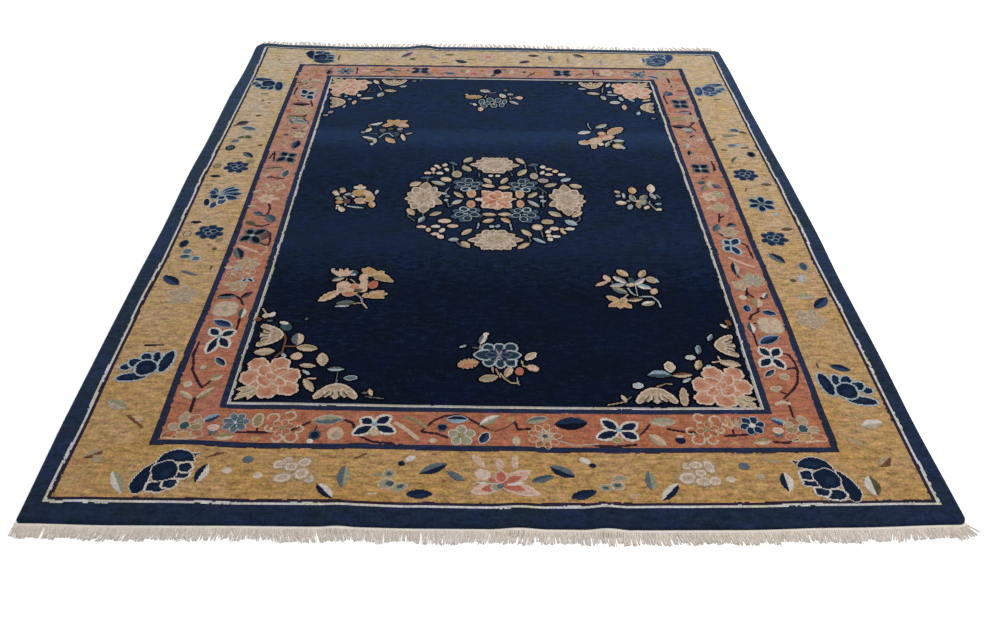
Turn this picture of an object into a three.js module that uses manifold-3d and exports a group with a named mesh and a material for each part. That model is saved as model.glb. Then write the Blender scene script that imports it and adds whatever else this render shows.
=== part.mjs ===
import * as THREE from 'three';
import { mergeGeometries, mergeVertices } from 'three/addons/utils/BufferGeometryUtils.js';
import Module from 'manifold-3d';

// A hand-knotted wool rug lying on the floor, with cotton fringe at both ends.
// X runs across the rug, Y along it from the near end to the far end, Z up. Millimetres.

// Driving dimensions
const WIDTH = 2740;
const LENGTH = 3500;
const RUG_THICKNESS = 10;
const SHOULDER_INSET = 6;
const SHOULDER_DROP = 3;
const STRIP_GAP = 0.3;
const STRIP_WIDTH = 9;
const STRIP_THICKNESS = 3.4;

const HALF_WIDTH = WIDTH / 2;
const HALF_LENGTH = LENGTH / 2;

// How far each side edge bulges past half the width, at places along the rug
const SIDE_EDGES = [
  { along: -1750, left: 15, right: 9 },
  { along: -1350, left: 21, right: 4 },
  { along: -1000, left: 20, right: 9 },
  { along: -600, left: 18, right: 9 },
  { along: -200, left: 12, right: 17 },
  { along: 200, left: 17, right: 16 },
  { along: 600, left: 8, right: 10 },
  { along: 1000, left: 8, right: 7 },
  { along: 1400, left: -5, right: 9 },
  { along: 1750, left: -8, right: 3 },
];

// How far each end edge bulges past half the length, at places across the rug
const END_EDGES = [
  { across: -1370, near: -7, far: 8 },
  { across: -1100, near: 0, far: -5 },
  { across: -800, near: 1, far: -20 },
  { across: -500, near: 4, far: -15 },
  { across: -200, near: 11, far: -6 },
  { across: 100, near: 13, far: -5 },
  { across: 400, near: 16, far: -16 },
  { across: 700, near: 15, far: -20 },
  { across: 1000, near: 6, far: -25 },
  { across: 1370, near: -5, far: -18 },
];

// Ripples that lift the cloth off the floor, each fading inwards from its end
const RIPPLES = [
  { end: 'near', across: 62, height: 8, halfWidth: 85, reach: 240 },
  { end: 'near', across: 318, height: 9, halfWidth: 72, reach: 260 },
  { end: 'near', across: -462, height: 5, halfWidth: 60, reach: 160 },
  { end: 'far', across: -385, height: 12, halfWidth: 110, reach: 260 },
  { end: 'far', across: -1400, height: 9, halfWidth: 230, reach: 240 },
];

// Corner radii of the cloth, by the signs of X and Y
const CORNERS = [
  { x: -1, y: -1, radius: 14 },
  { x: 1, y: -1, radius: 26 },
  { x: -1, y: 1, radius: 70 },
  { x: 1, y: 1, radius: 30 },
];

// Grid lines of the cloth, as distances in from an edge, and the coarse spacing between them
const EDGE_LINES = [0, SHOULDER_INSET, 24, 60];
const END_LINES = [...EDGE_LINES, 105, 160, 225];
const COARSE_ACROSS = 115;
const COARSE_ALONG = 250;
const LEAST_LINE_GAP = 14;
const LINES_PER_RIPPLE_SIDE = 3;

// Fringe at each end: locks of warp yarn that leave the strip and settle on the floor
const FRINGES = [
  { node: 'fringe_near', end: 'near', locks: 128, length: 42, lean: 0.16, width: 14, seed: 11 },
  { node: 'fringe_far', end: 'far', locks: 96, length: 62, lean: 0.24, width: 12, seed: 29 },
];

// Sections of a lock, from inside the strip to the tip: each lies out from the strip by a distance
// and a share of the length, with shares of the lean, the width and the root's height off the floor
const LOCK_SECTIONS = [
  { out: -5, length: 0, lean: 0, width: 0.8, rise: 1, height: 1.9 },
  { out: 2, length: 0, lean: 0, width: 1, rise: 0.9, height: 2.4 },
  { out: 0, length: 0.45, lean: 0.3, width: 0.95, rise: 0, height: 2.4 },
  { out: 0, length: 1, lean: 1, width: 0.43, rise: 0, height: 1.3 },
];
const LOCK_ROOT_RISE = 0.6;
const SHORTEST_LOCK = 0.72;
const LONGEST_LOCK = 1.22;
const NARROWEST_LOCK = 0.8;
const WIDEST_LOCK = 1.05;
const ROOT_JITTER = 0.12;
const LEAN_JITTER = 0.12;

// The locks lean together in slow waves along the strip
const LEAN_WAVES = [
  { period: 1070, share: 1 },
  { period: 383, share: 0.6 },
];

// How far the strip goes round each corner, in radians, and in how many steps
const ARC_TURN = 0.85;
const ARC_STEPS = 3;

// Points nearer than this are one point when solids are joined
const WELD = 1e-4;

const COLOURS = { pile: 0x1b2740, cotton: 0xd8cfc2 };

// Smooth value of one column of a table at a place between its rows
function sample(table, placeKey, valueKey, place) {
  const last = table.length - 1;
  if (place <= table[0][placeKey]) return table[0][valueKey];
  if (place >= table[last][placeKey]) return table[last][valueKey];
  const i = table.findIndex((row) => row[placeKey] > place) - 1;
  const before = table[i];
  const after = table[i + 1];
  const t = (place - before[placeKey]) / (after[placeKey] - before[placeKey]);
  return THREE.MathUtils.lerp(before[valueKey], after[valueKey], THREE.MathUtils.smoothstep(t, 0, 1));
}

function sideEdge(sign, y) {
  return sign * (HALF_WIDTH + sample(SIDE_EDGES, 'along', sign < 0 ? 'left' : 'right', y));
}

function endEdge(sign, x) {
  return sign * (HALF_LENGTH + sample(END_EDGES, 'across', sign < 0 ? 'near' : 'far', x));
}

// A smooth hump: 1 at 0, flat again at 1 and beyond
function hump(t) {
  return Math.abs(t) < 1 ? 0.5 + 0.5 * Math.cos(Math.PI * t) : 0;
}

// Height of the underside above the floor
function lift(x, y) {
  return RIPPLES.reduce((height, ripple) => {
    const sign = ripple.end === 'near' ? -1 : 1;
    const inwards = Math.max(0, sign * (endEdge(sign, x) - y));
    const across = hump((x - ripple.across) / ripple.halfWidth);
    return height + ripple.height * across * hump(inwards / ripple.reach);
  }, 0);
}

// The rounding of one corner: its radius and the centre of its arc
function cornerArc(signX, signY) {
  const { radius } = CORNERS.find((corner) => corner.x === signX && corner.y === signY);
  const x = sideEdge(signX, signY * HALF_LENGTH) - signX * radius;
  return { radius, x, y: endEdge(signY, x) - signY * radius };
}

// Pulls a point of the square-cornered outline onto the arc of its corner
function roundCorner(x, y, inset) {
  const signX = Math.sign(x) || 1;
  const signY = Math.sign(y) || 1;
  const arc = cornerArc(signX, signY);
  const outX = signX * (x - arc.x);
  const outY = signY * (y - arc.y);
  const distance = Math.hypot(outX, outY);
  const radius = arc.radius - inset;
  if (outX <= 0 || outY <= 0 || radius <= 0 || distance <= radius) return [x, y];
  return [arc.x + signX * outX * radius / distance, arc.y + signY * outY * radius / distance];
}

// Grid lines from one edge to the other: close by the edges and the ripples, coarse between
function gridLines(halfSpan, edgeLines, spacing, extras) {
  const lines = edgeLines.flatMap((inset) => [inset - halfSpan, halfSpan - inset]);
  const count = Math.round(2 * halfSpan / spacing);
  const coarse = Array.from({ length: count - 1 }, (_, i) => halfSpan * (2 * (i + 1) / count - 1));
  [...extras, ...coarse].forEach((line) => {
    const inside = Math.abs(line) < halfSpan - edgeLines.at(-1);
    const apart = lines.every((other) => Math.abs(other - line) >= LEAST_LINE_GAP);
    if (inside && apart) lines.push(line);
  });
  return lines.sort((a, b) => a - b);
}

function rippleLines() {
  return RIPPLES.flatMap((ripple) => {
    const step = ripple.halfWidth / LINES_PER_RIPPLE_SIDE;
    const count = 2 * LINES_PER_RIPPLE_SIDE + 1;
    return Array.from({ length: count }, (_, i) => ripple.across + (i - LINES_PER_RIPPLE_SIDE) * step);
  });
}

// Closed geometry from points and faces given by indices
function closedGeometry(points, faces) {
  const geometry = new THREE.BufferGeometry();
  geometry.setAttribute('position', new THREE.Float32BufferAttribute(points.flat(), 3));
  geometry.setIndex(faces.flat());
  return geometry;
}

const linesAcross = gridLines(HALF_WIDTH, EDGE_LINES, COARSE_ACROSS, rippleLines());
const linesAlong = gridLines(HALF_LENGTH, END_LINES, COARSE_ALONG, []);

// Where a grid line across the rug lies, its outer lines following the side edge
function placeAcross(lineX, lineY) {
  const inset = HALF_WIDTH - Math.abs(lineX);
  const sign = Math.sign(lineX) || 1;
  return inset <= EDGE_LINES.at(-1) ? sideEdge(sign, lineY) - sign * inset : lineX;
}

// The knotted cloth: an even sheet that follows its ripples, with the pile's rounded shoulder
function rugCloth() {
  const countX = linesAcross.length;
  const countY = linesAlong.length;
  const points = [];
  [false, true].forEach((top) => {
    linesAlong.forEach((lineY) => linesAcross.forEach((lineX) => {
      const insetX = HALF_WIDTH - Math.abs(lineX);
      const insetY = HALF_LENGTH - Math.abs(lineY);
      const signY = Math.sign(lineY) || 1;
      const flatX = placeAcross(lineX, lineY);
      const flatY = insetY <= END_LINES.at(-1) ? endEdge(signY, flatX) - signY * insetY : lineY;
      const inset = Math.min(insetX, insetY);
      const [x, y] = roundCorner(flatX, flatY, inset);
      const drop = inset < SHOULDER_INSET ? SHOULDER_DROP : 0;
      points.push([x, y, lift(x, y) + (top ? RUG_THICKNESS - drop : 0)]);
    }));
  });
  const layer = countX * countY;
  const index = (i, j, top) => (top ? layer : 0) + j * countX + i;
  const faces = [];
  for (let j = 0; j < countY - 1; j += 1) {
    for (let i = 0; i < countX - 1; i += 1) {
      faces.push([index(i, j, true), index(i + 1, j, true), index(i + 1, j + 1, true)]);
      faces.push([index(i, j, true), index(i + 1, j + 1, true), index(i, j + 1, true)]);
      faces.push([index(i, j, false), index(i + 1, j + 1, false), index(i + 1, j, false)]);
      faces.push([index(i, j, false), index(i, j + 1, false), index(i + 1, j + 1, false)]);
    }
  }
  const rim = [];
  for (let i = 0; i < countX - 1; i += 1) rim.push([i, 0]);
  for (let j = 0; j < countY - 1; j += 1) rim.push([countX - 1, j]);
  for (let i = countX - 1; i > 0; i -= 1) rim.push([i, countY - 1]);
  for (let j = countY - 1; j > 0; j -= 1) rim.push([0, j]);
  rim.forEach(([i, j], k) => {
    const [nextI, nextJ] = rim[(k + 1) % rim.length];
    faces.push([index(i, j, false), index(nextI, nextJ, false), index(nextI, nextJ, true)]);
    faces.push([index(i, j, false), index(nextI, nextJ, true), index(i, j, true)]);
  });
  return closedGeometry(points, faces);
}

// A closed loft through rings of four corners, each ring anticlockwise seen from its start
function loft(rings) {
  const faces = [[0, 2, 1], [0, 3, 2]];
  rings.slice(1).forEach((_, ring) => {
    for (let k = 0; k < 4; k += 1) {
      const a = ring * 4 + k;
      const b = ring * 4 + (k + 1) % 4;
      faces.push([a, b, b + 4], [a, b + 4, a + 4]);
    }
  });
  const end = (rings.length - 1) * 4;
  faces.push([end, end + 1, end + 2], [end, end + 2, end + 3]);
  return closedGeometry(rings.flat(), faces);
}

// A repeatable series of numbers from 0 to 1
function randomSeries(seed) {
  let state = seed;
  return () => {
    state = (state * 16807) % 2147483647;
    return state / 2147483647;
  };
}

// Stations along one end of the cloth, from left to right, each with its outward direction.
// The path goes part of the way round both corners, its chords outside the cloth's arc.
function endPath(sign) {
  const arcs = [-1, 1].map((side) => {
    const arc = cornerArc(side, sign);
    const pathRadius = arc.radius / Math.cos(ARC_TURN / ARC_STEPS / 2);
    return Array.from({ length: ARC_STEPS + 1 }, (_, i) => {
      const turn = ARC_TURN * i / ARC_STEPS;
      const outward = [side * Math.sin(turn), sign * Math.cos(turn)];
      return { x: arc.x + pathRadius * outward[0], y: arc.y + pathRadius * outward[1], outward };
    });
  });
  const [leftArc, rightArc] = arcs;
  const from = leftArc[0].x + 1;
  const to = rightArc[0].x - 1;
  const edge = linesAcross.map((line) => placeAcross(line, sign * HALF_LENGTH))
    .filter((place) => place > from && place < to)
    .map((x) => ({ x, y: endEdge(sign, x), outward: [0, sign] }));
  return [...leftArc.reverse(), ...edge, ...rightArc];
}

// The woven strip along one end, which carries the fringe and follows the cloth's edge
function fringeStrip(sign, path) {
  const rings = path.map(({ x, y, outward }) => {
    const bottom = lift(x, y);
    const top = bottom + STRIP_THICKNESS;
    const inner = [x + outward[0] * STRIP_GAP, y + outward[1] * STRIP_GAP];
    const reach = STRIP_GAP + STRIP_WIDTH;
    const outer = [x + outward[0] * reach, y + outward[1] * reach];
    const [first, second] = sign > 0 ? [inner, outer] : [outer, inner];
    return [[...first, bottom], [...second, bottom], [...second, top], [...first, top]];
  });
  return loft(rings);
}

// Evenly spaced roots along a path, each nudged a little
function lockRoots(path, count, random) {
  const steps = path.slice(1).map(({ x, y }, i) => Math.hypot(x - path[i].x, y - path[i].y));
  const pitch = steps.reduce((sum, step) => sum + step, 0) / count;
  return Array.from({ length: count }, (_, k) => {
    let along = (k + 0.5 + (random() - 0.5) * ROOT_JITTER) * pitch;
    let i = 0;
    while (i < steps.length - 1 && along > steps[i]) {
      along -= steps[i];
      i += 1;
    }
    const t = along / steps[i];
    const [before, after] = [path[i], path[i + 1]];
    const between = (from, to) => THREE.MathUtils.lerp(from, to, t);
    const outward = before.outward.map((value, axis) => between(value, after.outward[axis]));
    return { x: between(before.x, after.x), y: between(before.y, after.y), outward };
  });
}

// One lock: it leaves the strip just above its underside and lies level on the floor
function fringeLock(root, row, random) {
  const [outX, outY] = root.outward;
  const wave = LEAN_WAVES.reduce((sum, { period, share }) => {
    return sum + share * Math.sin(2 * Math.PI * root.x / period + row.seed);
  }, 0);
  const lean = row.lean * wave + (random() - 0.5) * LEAN_JITTER;
  const length = row.length * THREE.MathUtils.lerp(SHORTEST_LOCK, LONGEST_LOCK, random());
  const width = row.width * THREE.MathUtils.lerp(NARROWEST_LOCK, WIDEST_LOCK, random());
  const rise = lift(root.x, root.y) + LOCK_ROOT_RISE;
  const rings = LOCK_SECTIONS.map((section) => {
    const out = STRIP_GAP + STRIP_WIDTH + section.out + section.length * length;
    const x = root.x + outX * out + Math.abs(outY) * Math.tan(lean) * length * section.lean;
    const y = root.y + outY * out;
    const half = section.width * width / 2;
    const left = [x + outY * half, y - outX * half];
    const right = [x - outY * half, y + outX * half];
    const bottom = rise * section.rise;
    const top = bottom + section.height;
    return [[...left, bottom], [...right, bottom], [...right, top], [...left, top]];
  });
  return loft(rings);
}

// Solid modelling library for joining the locks to their strip
const solidLibrary = await Module();
solidLibrary.setup();

function toSolid(geometry) {
  const merged = mergeVertices(geometry, WELD);
  return new solidLibrary.Manifold(new solidLibrary.Mesh({
    numProp: 3,
    vertProperties: new Float32Array(merged.attributes.position.array),
    triVerts: new Uint32Array(merged.index.array),
  }));
}

function toGeometry(solid) {
  const mesh = solid.getMesh();
  const geometry = new THREE.BufferGeometry();
  geometry.setAttribute('position', new THREE.Float32BufferAttribute(mesh.vertProperties, 3));
  geometry.setIndex(Array.from(mesh.triVerts));
  return geometry;
}

function fringe(row) {
  const sign = row.end === 'near' ? -1 : 1;
  const random = randomSeries(row.seed);
  const path = endPath(sign);
  const strip = toSolid(fringeStrip(sign, path));
  const locks = lockRoots(path, row.locks, random).map((root) => fringeLock(root, row, random));
  return toGeometry(strip.add(toSolid(mergeGeometries(locks))));
}

function finish(name, geometry, colour, roughness) {
  const faceted = geometry.toNonIndexed();
  faceted.computeVertexNormals();
  const material = new THREE.MeshStandardMaterial({ color: colour, roughness, metalness: 0 });
  const mesh = new THREE.Mesh(faceted, material);
  mesh.name = name;
  return mesh;
}

// The origin lies on the floor, at the middle of the whole piece
function centreOnFloor(group) {
  const centre = new THREE.Box3().setFromObject(group).getCenter(new THREE.Vector3());
  group.children.forEach((mesh) => mesh.geometry.translate(-centre.x, -centre.y, 0));
}

const rug = new THREE.Group();
rug.add(finish('rug_cloth', rugCloth(), COLOURS.pile, 0.95));
FRINGES.forEach((row) => rug.add(finish(row.node, fringe(row), COLOURS.cotton, 0.9)));
centreOnFloor(rug);

export default rug;
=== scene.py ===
import math

import bpy
import numpy as np
from mathutils import Matrix, Vector


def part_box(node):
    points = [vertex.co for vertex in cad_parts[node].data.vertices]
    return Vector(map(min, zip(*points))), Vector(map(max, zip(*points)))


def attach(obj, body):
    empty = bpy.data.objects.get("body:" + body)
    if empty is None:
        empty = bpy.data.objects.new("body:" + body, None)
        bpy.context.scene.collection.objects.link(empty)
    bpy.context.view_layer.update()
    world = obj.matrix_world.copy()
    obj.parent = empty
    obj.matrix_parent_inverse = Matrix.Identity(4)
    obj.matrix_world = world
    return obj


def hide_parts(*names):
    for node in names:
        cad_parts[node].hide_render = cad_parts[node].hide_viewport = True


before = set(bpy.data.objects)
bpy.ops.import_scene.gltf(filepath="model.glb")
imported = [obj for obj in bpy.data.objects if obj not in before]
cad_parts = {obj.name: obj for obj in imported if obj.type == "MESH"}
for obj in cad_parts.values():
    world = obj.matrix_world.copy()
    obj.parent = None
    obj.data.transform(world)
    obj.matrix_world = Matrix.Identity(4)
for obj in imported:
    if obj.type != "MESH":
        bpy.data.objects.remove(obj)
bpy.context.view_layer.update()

# A hand-knotted Peking rug on a plain floor. Lengths here are in millimetres, and become metres where
# a mesh is made. X runs across the rug and Y along it, from the near end to the far end.
# The chart is the rug's knotted plan with straight edges, and lay() puts a chart point on the cloth.

MM = 0.001

# The cloth, as the solid has it
HALF_WIDTH = 1370
HALF_LENGTH = 1750
RUG_THICKNESS = 10
KNOT = 3.6
STRIP_GAP = 0.3
STRIP_WIDTH = 9
STRIP_THICKNESS = 3.4

# How far each side edge bulges past half the width
SIDE_EDGES = dict(
    along=[-1750, -1350, -1000, -600, -200, 200, 600, 1000, 1400, 1750],
    left=[15, 21, 20, 18, 12, 17, 8, 8, -5, -8],
    right=[9, 4, 9, 9, 17, 16, 10, 7, 9, 3],
)
# How far each end edge bulges past half the length
END_EDGES = dict(
    across=[-1370, -1100, -800, -500, -200, 100, 400, 700, 1000, 1370],
    near=[-7, 0, 1, 4, 11, 13, 16, 15, 6, -5],
    far=[8, -5, -20, -15, -6, -5, -16, -20, -25, -18],
)
RIPPLES = [
    dict(end=-1, across=62, height=8, half_width=85, reach=240),
    dict(end=-1, across=318, height=9, half_width=72, reach=260),
    dict(end=-1, across=-462, height=5, half_width=60, reach=160),
    dict(end=1, across=-385, height=12, half_width=110, reach=260),
    dict(end=1, across=-1400, height=9, half_width=230, reach=240),
]
CORNER_RADII = {(-1, -1): 14, (1, -1): 26, (-1, 1): 70, (1, 1): 30}

# Depths of the drawn lines in from the edge, on the chart
GUARD_LINE = 56
GOLD_START = 72
GOLD_END = 280
RUST_START = 304
BETWEEN_BORDERS = 292
RUST_END = 452
INNER_LINE = 478

# Where three of those lines really run, as depths in from half the width or length
SIDE_LINES = dict(
    along=[-1650, -1350, -1050, -750, -450, -150, 150, 450, 750, 1050, 1350, 1650],
    left_guard=[40, 44, 41, 42, 51, 50, 49, 54, 59, 63, 67, 64],
    left_gold=[280, 279, 276, 285, 288, 288, 286, 284, 286, 289, 293, 302],
    left_inner=[486, 486, 488, 492, 496, 495, 494, 495, 497, 498, 500, 502],
    right_guard=[51, 51, 50, 49, 51, 44, 44, 46, 48, 46, 48, 45],
    right_gold=[282, 280, 274, 268, 269, 268, 265, 267, 270, 263, 264, 264],
    right_inner=[484, 482, 479, 473, 470, 469, 469, 470, 472, 472, 476, 478],
)
END_LINES = dict(
    across=[-1250, -1000, -750, -500, -250, 0, 250, 500, 750, 1000, 1250],
    near_guard=[82, 79, 72, 71, 62, 58, 59, 62, 64, 71, 75],
    near_gold=[304, 302, 288, 286, 282, 278, 272, 271, 273, 275, 278],
    near_inner=[492, 490, 487, 482, 477, 473, 470, 469, 471, 474, 478],
    far_guard=[50, 62, 69, 63, 57, 56, 57, 64, 70, 77, 83],
    far_gold=[284, 282, 282, 281, 280, 281, 282, 283, 284, 286, 288],
    far_inner=[458, 454, 452, 453, 455, 456, 459, 460, 461, 464, 466],
)
DRAWN_LINES = ("guard", "gold", "inner")
TINY = 1e-9


def smooth_sample(table, place_key, value_key, place):
    """Smooth value of one column of a table at places between its rows."""
    places = np.array(table[place_key], float)
    values = np.array(table[value_key], float)
    row = np.clip(np.searchsorted(places, place, side="right") - 1, 0, len(places) - 2)
    t = np.clip((place - places[row]) / (places[row + 1] - places[row]), 0, 1)
    t = t * t * (3 - 2 * t)
    return values[row] * (1 - t) + values[row + 1] * t


def side_bulge(sign, y):
    return smooth_sample(SIDE_EDGES, "along", "left" if sign < 0 else "right", y)


def end_bulge(sign, x):
    return smooth_sample(END_EDGES, "across", "near" if sign < 0 else "far", x)


def bent_depth(depth, lines, middle):
    """Real depth of a chart depth, through the edge, three drawn lines and the middle."""
    edge, guard, gold, inner = lines
    charted = [0, GUARD_LINE, GOLD_END, INNER_LINE, middle]
    real = [edge, guard, gold, inner, np.full_like(depth, middle)]
    bent = np.empty_like(depth)
    for k in range(len(charted) - 1):
        inside = (depth >= charted[k]) & (depth <= charted[k + 1])
        t = (depth - charted[k]) / (charted[k + 1] - charted[k])
        bent = np.where(inside, real[k] * (1 - t) + real[k + 1] * t, bent)
    return bent


def plan(u, v):
    """Where a chart point lies on the floor plan, before the corners are rounded."""
    x = np.empty_like(u)
    y = np.empty_like(v)
    for sign, side in ((-1, "left"), (1, "right")):
        lines = [smooth_sample(SIDE_LINES, "along", f"{side}_{line}", v) for line in DRAWN_LINES]
        bent = bent_depth(HALF_WIDTH - np.abs(u), [-side_bulge(sign, v), *lines], HALF_WIDTH)
        x = np.where(np.sign(u + TINY) == sign, sign * (HALF_WIDTH - bent), x)
    for sign, end in ((-1, "near"), (1, "far")):
        lines = [smooth_sample(END_LINES, "across", f"{end}_{line}", u) for line in DRAWN_LINES]
        bent = bent_depth(HALF_LENGTH - np.abs(v), [-end_bulge(sign, x), *lines], HALF_LENGTH)
        y = np.where(np.sign(v + TINY) == sign, sign * (HALF_LENGTH - bent), y)
    return x, y


def corner_arc(sign_x, sign_y):
    """Radius and centre of one corner's arc."""
    radius = CORNER_RADII[sign_x, sign_y]
    x = sign_x * (HALF_WIDTH + side_bulge(sign_x, sign_y * HALF_LENGTH) - radius)
    y = sign_y * (HALF_LENGTH + end_bulge(sign_y, x) - radius)
    return radius, x, y


def round_corners(x, y):
    """Squeezes the four square corners of the plan onto their arcs."""
    for sign_x, sign_y in CORNER_RADII:
        radius, centre_x, centre_y = corner_arc(sign_x, sign_y)
        out_x = sign_x * (x - centre_x)
        out_y = sign_y * (y - centre_y)
        beyond = (out_x > 0) & (out_y > 0)
        square = np.maximum(out_x, out_y)
        scale = np.where(beyond, square / np.maximum(np.hypot(out_x, out_y), TINY), 1)
        x = np.where(beyond, centre_x + sign_x * out_x * scale, x)
        y = np.where(beyond, centre_y + sign_y * out_y * scale, y)
    return x, y


def hump(t):
    return np.where(np.abs(t) < 1, 0.5 + 0.5 * np.cos(np.pi * t), 0)


def lift(x, y):
    """Height of the cloth's underside above the floor."""
    height = np.zeros_like(x)
    for ripple in RIPPLES:
        edge = HALF_LENGTH + end_bulge(ripple["end"], x)
        inwards = np.maximum(0, edge - ripple["end"] * y)
        across = hump((x - ripple["across"]) / ripple["half_width"])
        height = height + ripple["height"] * across * hump(inwards / ripple["reach"])
    return height


NOISE_WAVES = 6
PERIOD_SPREAD = (0.7, 1.5)


def smooth_noise(x, y, size, seed):
    """Smooth seeded noise from -1 to 1 with features of about the given size."""
    random = np.random.default_rng(seed)
    total = 0
    for _ in range(NOISE_WAVES):
        turn = random.uniform(0, 2 * np.pi)
        phase = random.uniform(0, 2 * np.pi)
        period = size * random.uniform(*PERIOD_SPREAD)
        total = total + np.sin(2 * np.pi * (x * np.cos(turn) + y * np.sin(turn)) / period + phase)
    return total / NOISE_WAVES


# The cloth as one closed slab

# Its mesh lines: how far in those by the rim lie, and the pitches of the others
RIM_INSETS = [0, 0.7, 1.8, 3.4, 5.4, 8, 12, 18, 26]
END_ZONE = 270
FINE_PITCH = 11.5
PLAIN_PITCH = 17
ACROSS_PITCH = 15.5
# The pile rounds off over the shoulder, and the underside rises a little at the very edge
SHOULDER = 7.5
SHOULDER_DROP = 4.6
UNDER_EDGE = 2.2
UNDER_EDGE_RISE = 1.2
# Unevenness, as height, size and seed. The pile's waves grow to their full height over the given inset.
EDGE_LUMPS = (0.8, 26, 5)
PILE_WAVES = [(0.55, 260, 2), (0.3, 110, 3)]
FULL_WAVES_AT = 30


def chart_lines(half, pitches):
    """Chart lines from the rim inwards: close together at the rim, then at each pitch in turn."""
    insets = list(RIM_INSETS)
    for until, pitch in pitches:
        stretch = until - insets[-1]
        count = math.ceil(stretch / pitch)
        insets += [insets[-1] + stretch * (k + 1) / count for k in range(count)]
    out = np.array(insets) - half
    return np.concatenate([out, -out[-2::-1]])


LINES_U = chart_lines(HALF_WIDTH, [(HALF_WIDTH, ACROSS_PITCH)])
LINES_V = chart_lines(HALF_LENGTH, [(END_ZONE, FINE_PITCH), (HALF_LENGTH, PLAIN_PITCH)])


def uneven(x, y, height, size, seed):
    return height * smooth_noise(x, y, size, seed)


def surface(top):
    """Points of the cloth's top or underside at every crossing of the chart lines."""
    u, v = np.meshgrid(LINES_U, LINES_V)
    x, y = round_corners(*plan(u, v))
    inset = np.minimum(HALF_WIDTH - np.abs(u), HALF_LENGTH - np.abs(v))
    shoulder = np.clip(1 - inset / SHOULDER, 0, 1)
    edge_lumps = uneven(x, y, *EDGE_LUMPS) * shoulder
    x = x - np.sign(u) * np.where(HALF_WIDTH - np.abs(u) < SHOULDER, np.abs(edge_lumps), 0)
    z = lift(x, y)
    if top:
        z = z + RUG_THICKNESS - SHOULDER_DROP * (1 - np.sqrt(1 - shoulder ** 2))
        z = z + np.clip(inset / FULL_WAVES_AT, 0, 1) * sum(uneven(x, y, *wave) for wave in PILE_WAVES)
    else:
        z = z + UNDER_EDGE_RISE * np.clip(1 - inset / UNDER_EDGE, 0, 1)
    return np.stack([x, y, z], -1)


TOP = surface(True)
UNDERSIDE = surface(False)


def outline_centre():
    """Middle of the cloth's outline on the plan."""
    flat = TOP[..., :2].reshape(-1, 2)
    return (flat.min(axis=0) + flat.max(axis=0)) / 2


def cad_shift():
    """From the plan used here to the frame's own place."""
    low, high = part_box("rug_cloth")
    middle = (np.array(low[:2]) + np.array(high[:2])) / 2 / MM
    return np.append(middle - outline_centre(), 0)


SHIFT = cad_shift()


def lay(u, v, proud):
    """Chart points laid on the top of the cloth, so far proud of it."""
    column = np.clip(np.searchsorted(LINES_U, u, side="right") - 1, 0, len(LINES_U) - 2)
    row = np.clip(np.searchsorted(LINES_V, v, side="right") - 1, 0, len(LINES_V) - 2)
    s = ((u - LINES_U[column]) / (LINES_U[column + 1] - LINES_U[column]))[..., None]
    t = ((v - LINES_V[row]) / (LINES_V[row + 1] - LINES_V[row]))[..., None]
    lower = TOP[row, column] * (1 - s) + TOP[row, column + 1] * s
    upper = TOP[row + 1, column] * (1 - s) + TOP[row + 1, column + 1] * s
    points = lower * (1 - t) + upper * t
    points[..., 2] += proud
    return points


# The pattern's dyes, as screen colours of 0 to 255

DYES = dict(
    # The first dye is painted shade: the near-black of cut-back pile round the field's motifs
    groove_shade=(10, 11, 18),
    midnight=(18, 22, 34),
    navy=(23, 33, 54),
    ink=(29, 43, 68),
    blue=(44, 62, 96),
    denim=(54, 76, 106),
    teal=(56, 76, 86),
    petrol=(36, 50, 64),
    iron=(68, 82, 88),
    slate=(88, 98, 104),
    sky=(128, 150, 162),
    mist=(156, 168, 174),
    white=(198, 190, 180),
    cream=(186, 164, 140),
    sand=(160, 140, 118),
    lint=(200, 180, 164),
    pearl=(170, 154, 136),
    dove=(146, 132, 116),
    olive=(138, 124, 90),
    moss=(80, 80, 60),
    sage=(142, 138, 114),
    blush=(200, 176, 160),
    pink=(194, 160, 142),
    peach=(181, 134, 110),
    salmon=(172, 116, 94),
    coral=(168, 96, 80),
    ochre=(172, 134, 92),
    brown=(104, 70, 54),
    plum=(84, 64, 74),
    lilac=(140, 132, 142),
    stem=(50, 34, 44),
    ash=(158, 140, 112),
)
DYE_NUMBER = {name: number + 1 for number, name in enumerate(DYES)}
DYE_NUMBER["ground"] = 0

# The chart of knots. A knot holds the number of its dye, or 0 where it has the ground of its band.

HALF_COLUMNS = 380
HALF_ROWS = 486
COLUMN_EDGES = np.arange(-HALF_COLUMNS, HALF_COLUMNS + 1) * KNOT
ROW_EDGES = np.arange(-HALF_ROWS, HALF_ROWS + 1) * KNOT
KNOT_U = (COLUMN_EDGES[:-1] + COLUMN_EDGES[1:]) / 2
KNOT_V = (ROW_EDGES[:-1] + ROW_EDGES[1:]) / 2
PLAN_X, PLAN_Y = plan(*np.meshgrid(KNOT_U, KNOT_V))
CHART = np.zeros(PLAN_X.shape, np.uint8)
# How far a plan point may lie from its chart point
BAND_BEND = 45
# Leaves and ovals of this width have an edge of two knots
WIDE_EDGE_FROM = 40
# A toothed leaf's width between its teeth, and what a tooth adds
TOOTH_GAP = 0.78
TOOTH_HEIGHT = 0.3
# How soon a drop is as wide as it gets
FOOT_SLOPE = 5
# A blossom's petals as shares of its radius, and how far they overlap
PETAL_REACH = 0.56
PETAL_LENGTH = 0.9
PETAL_OVERLAP = 1.15
HEART_SHARE = 0.5
STAR_HEART = (18, 16)
CURL_HALF_LINE = 4
CURL_OPENING = 90
SCALLOP_SHARPNESS = 0.7


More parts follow.
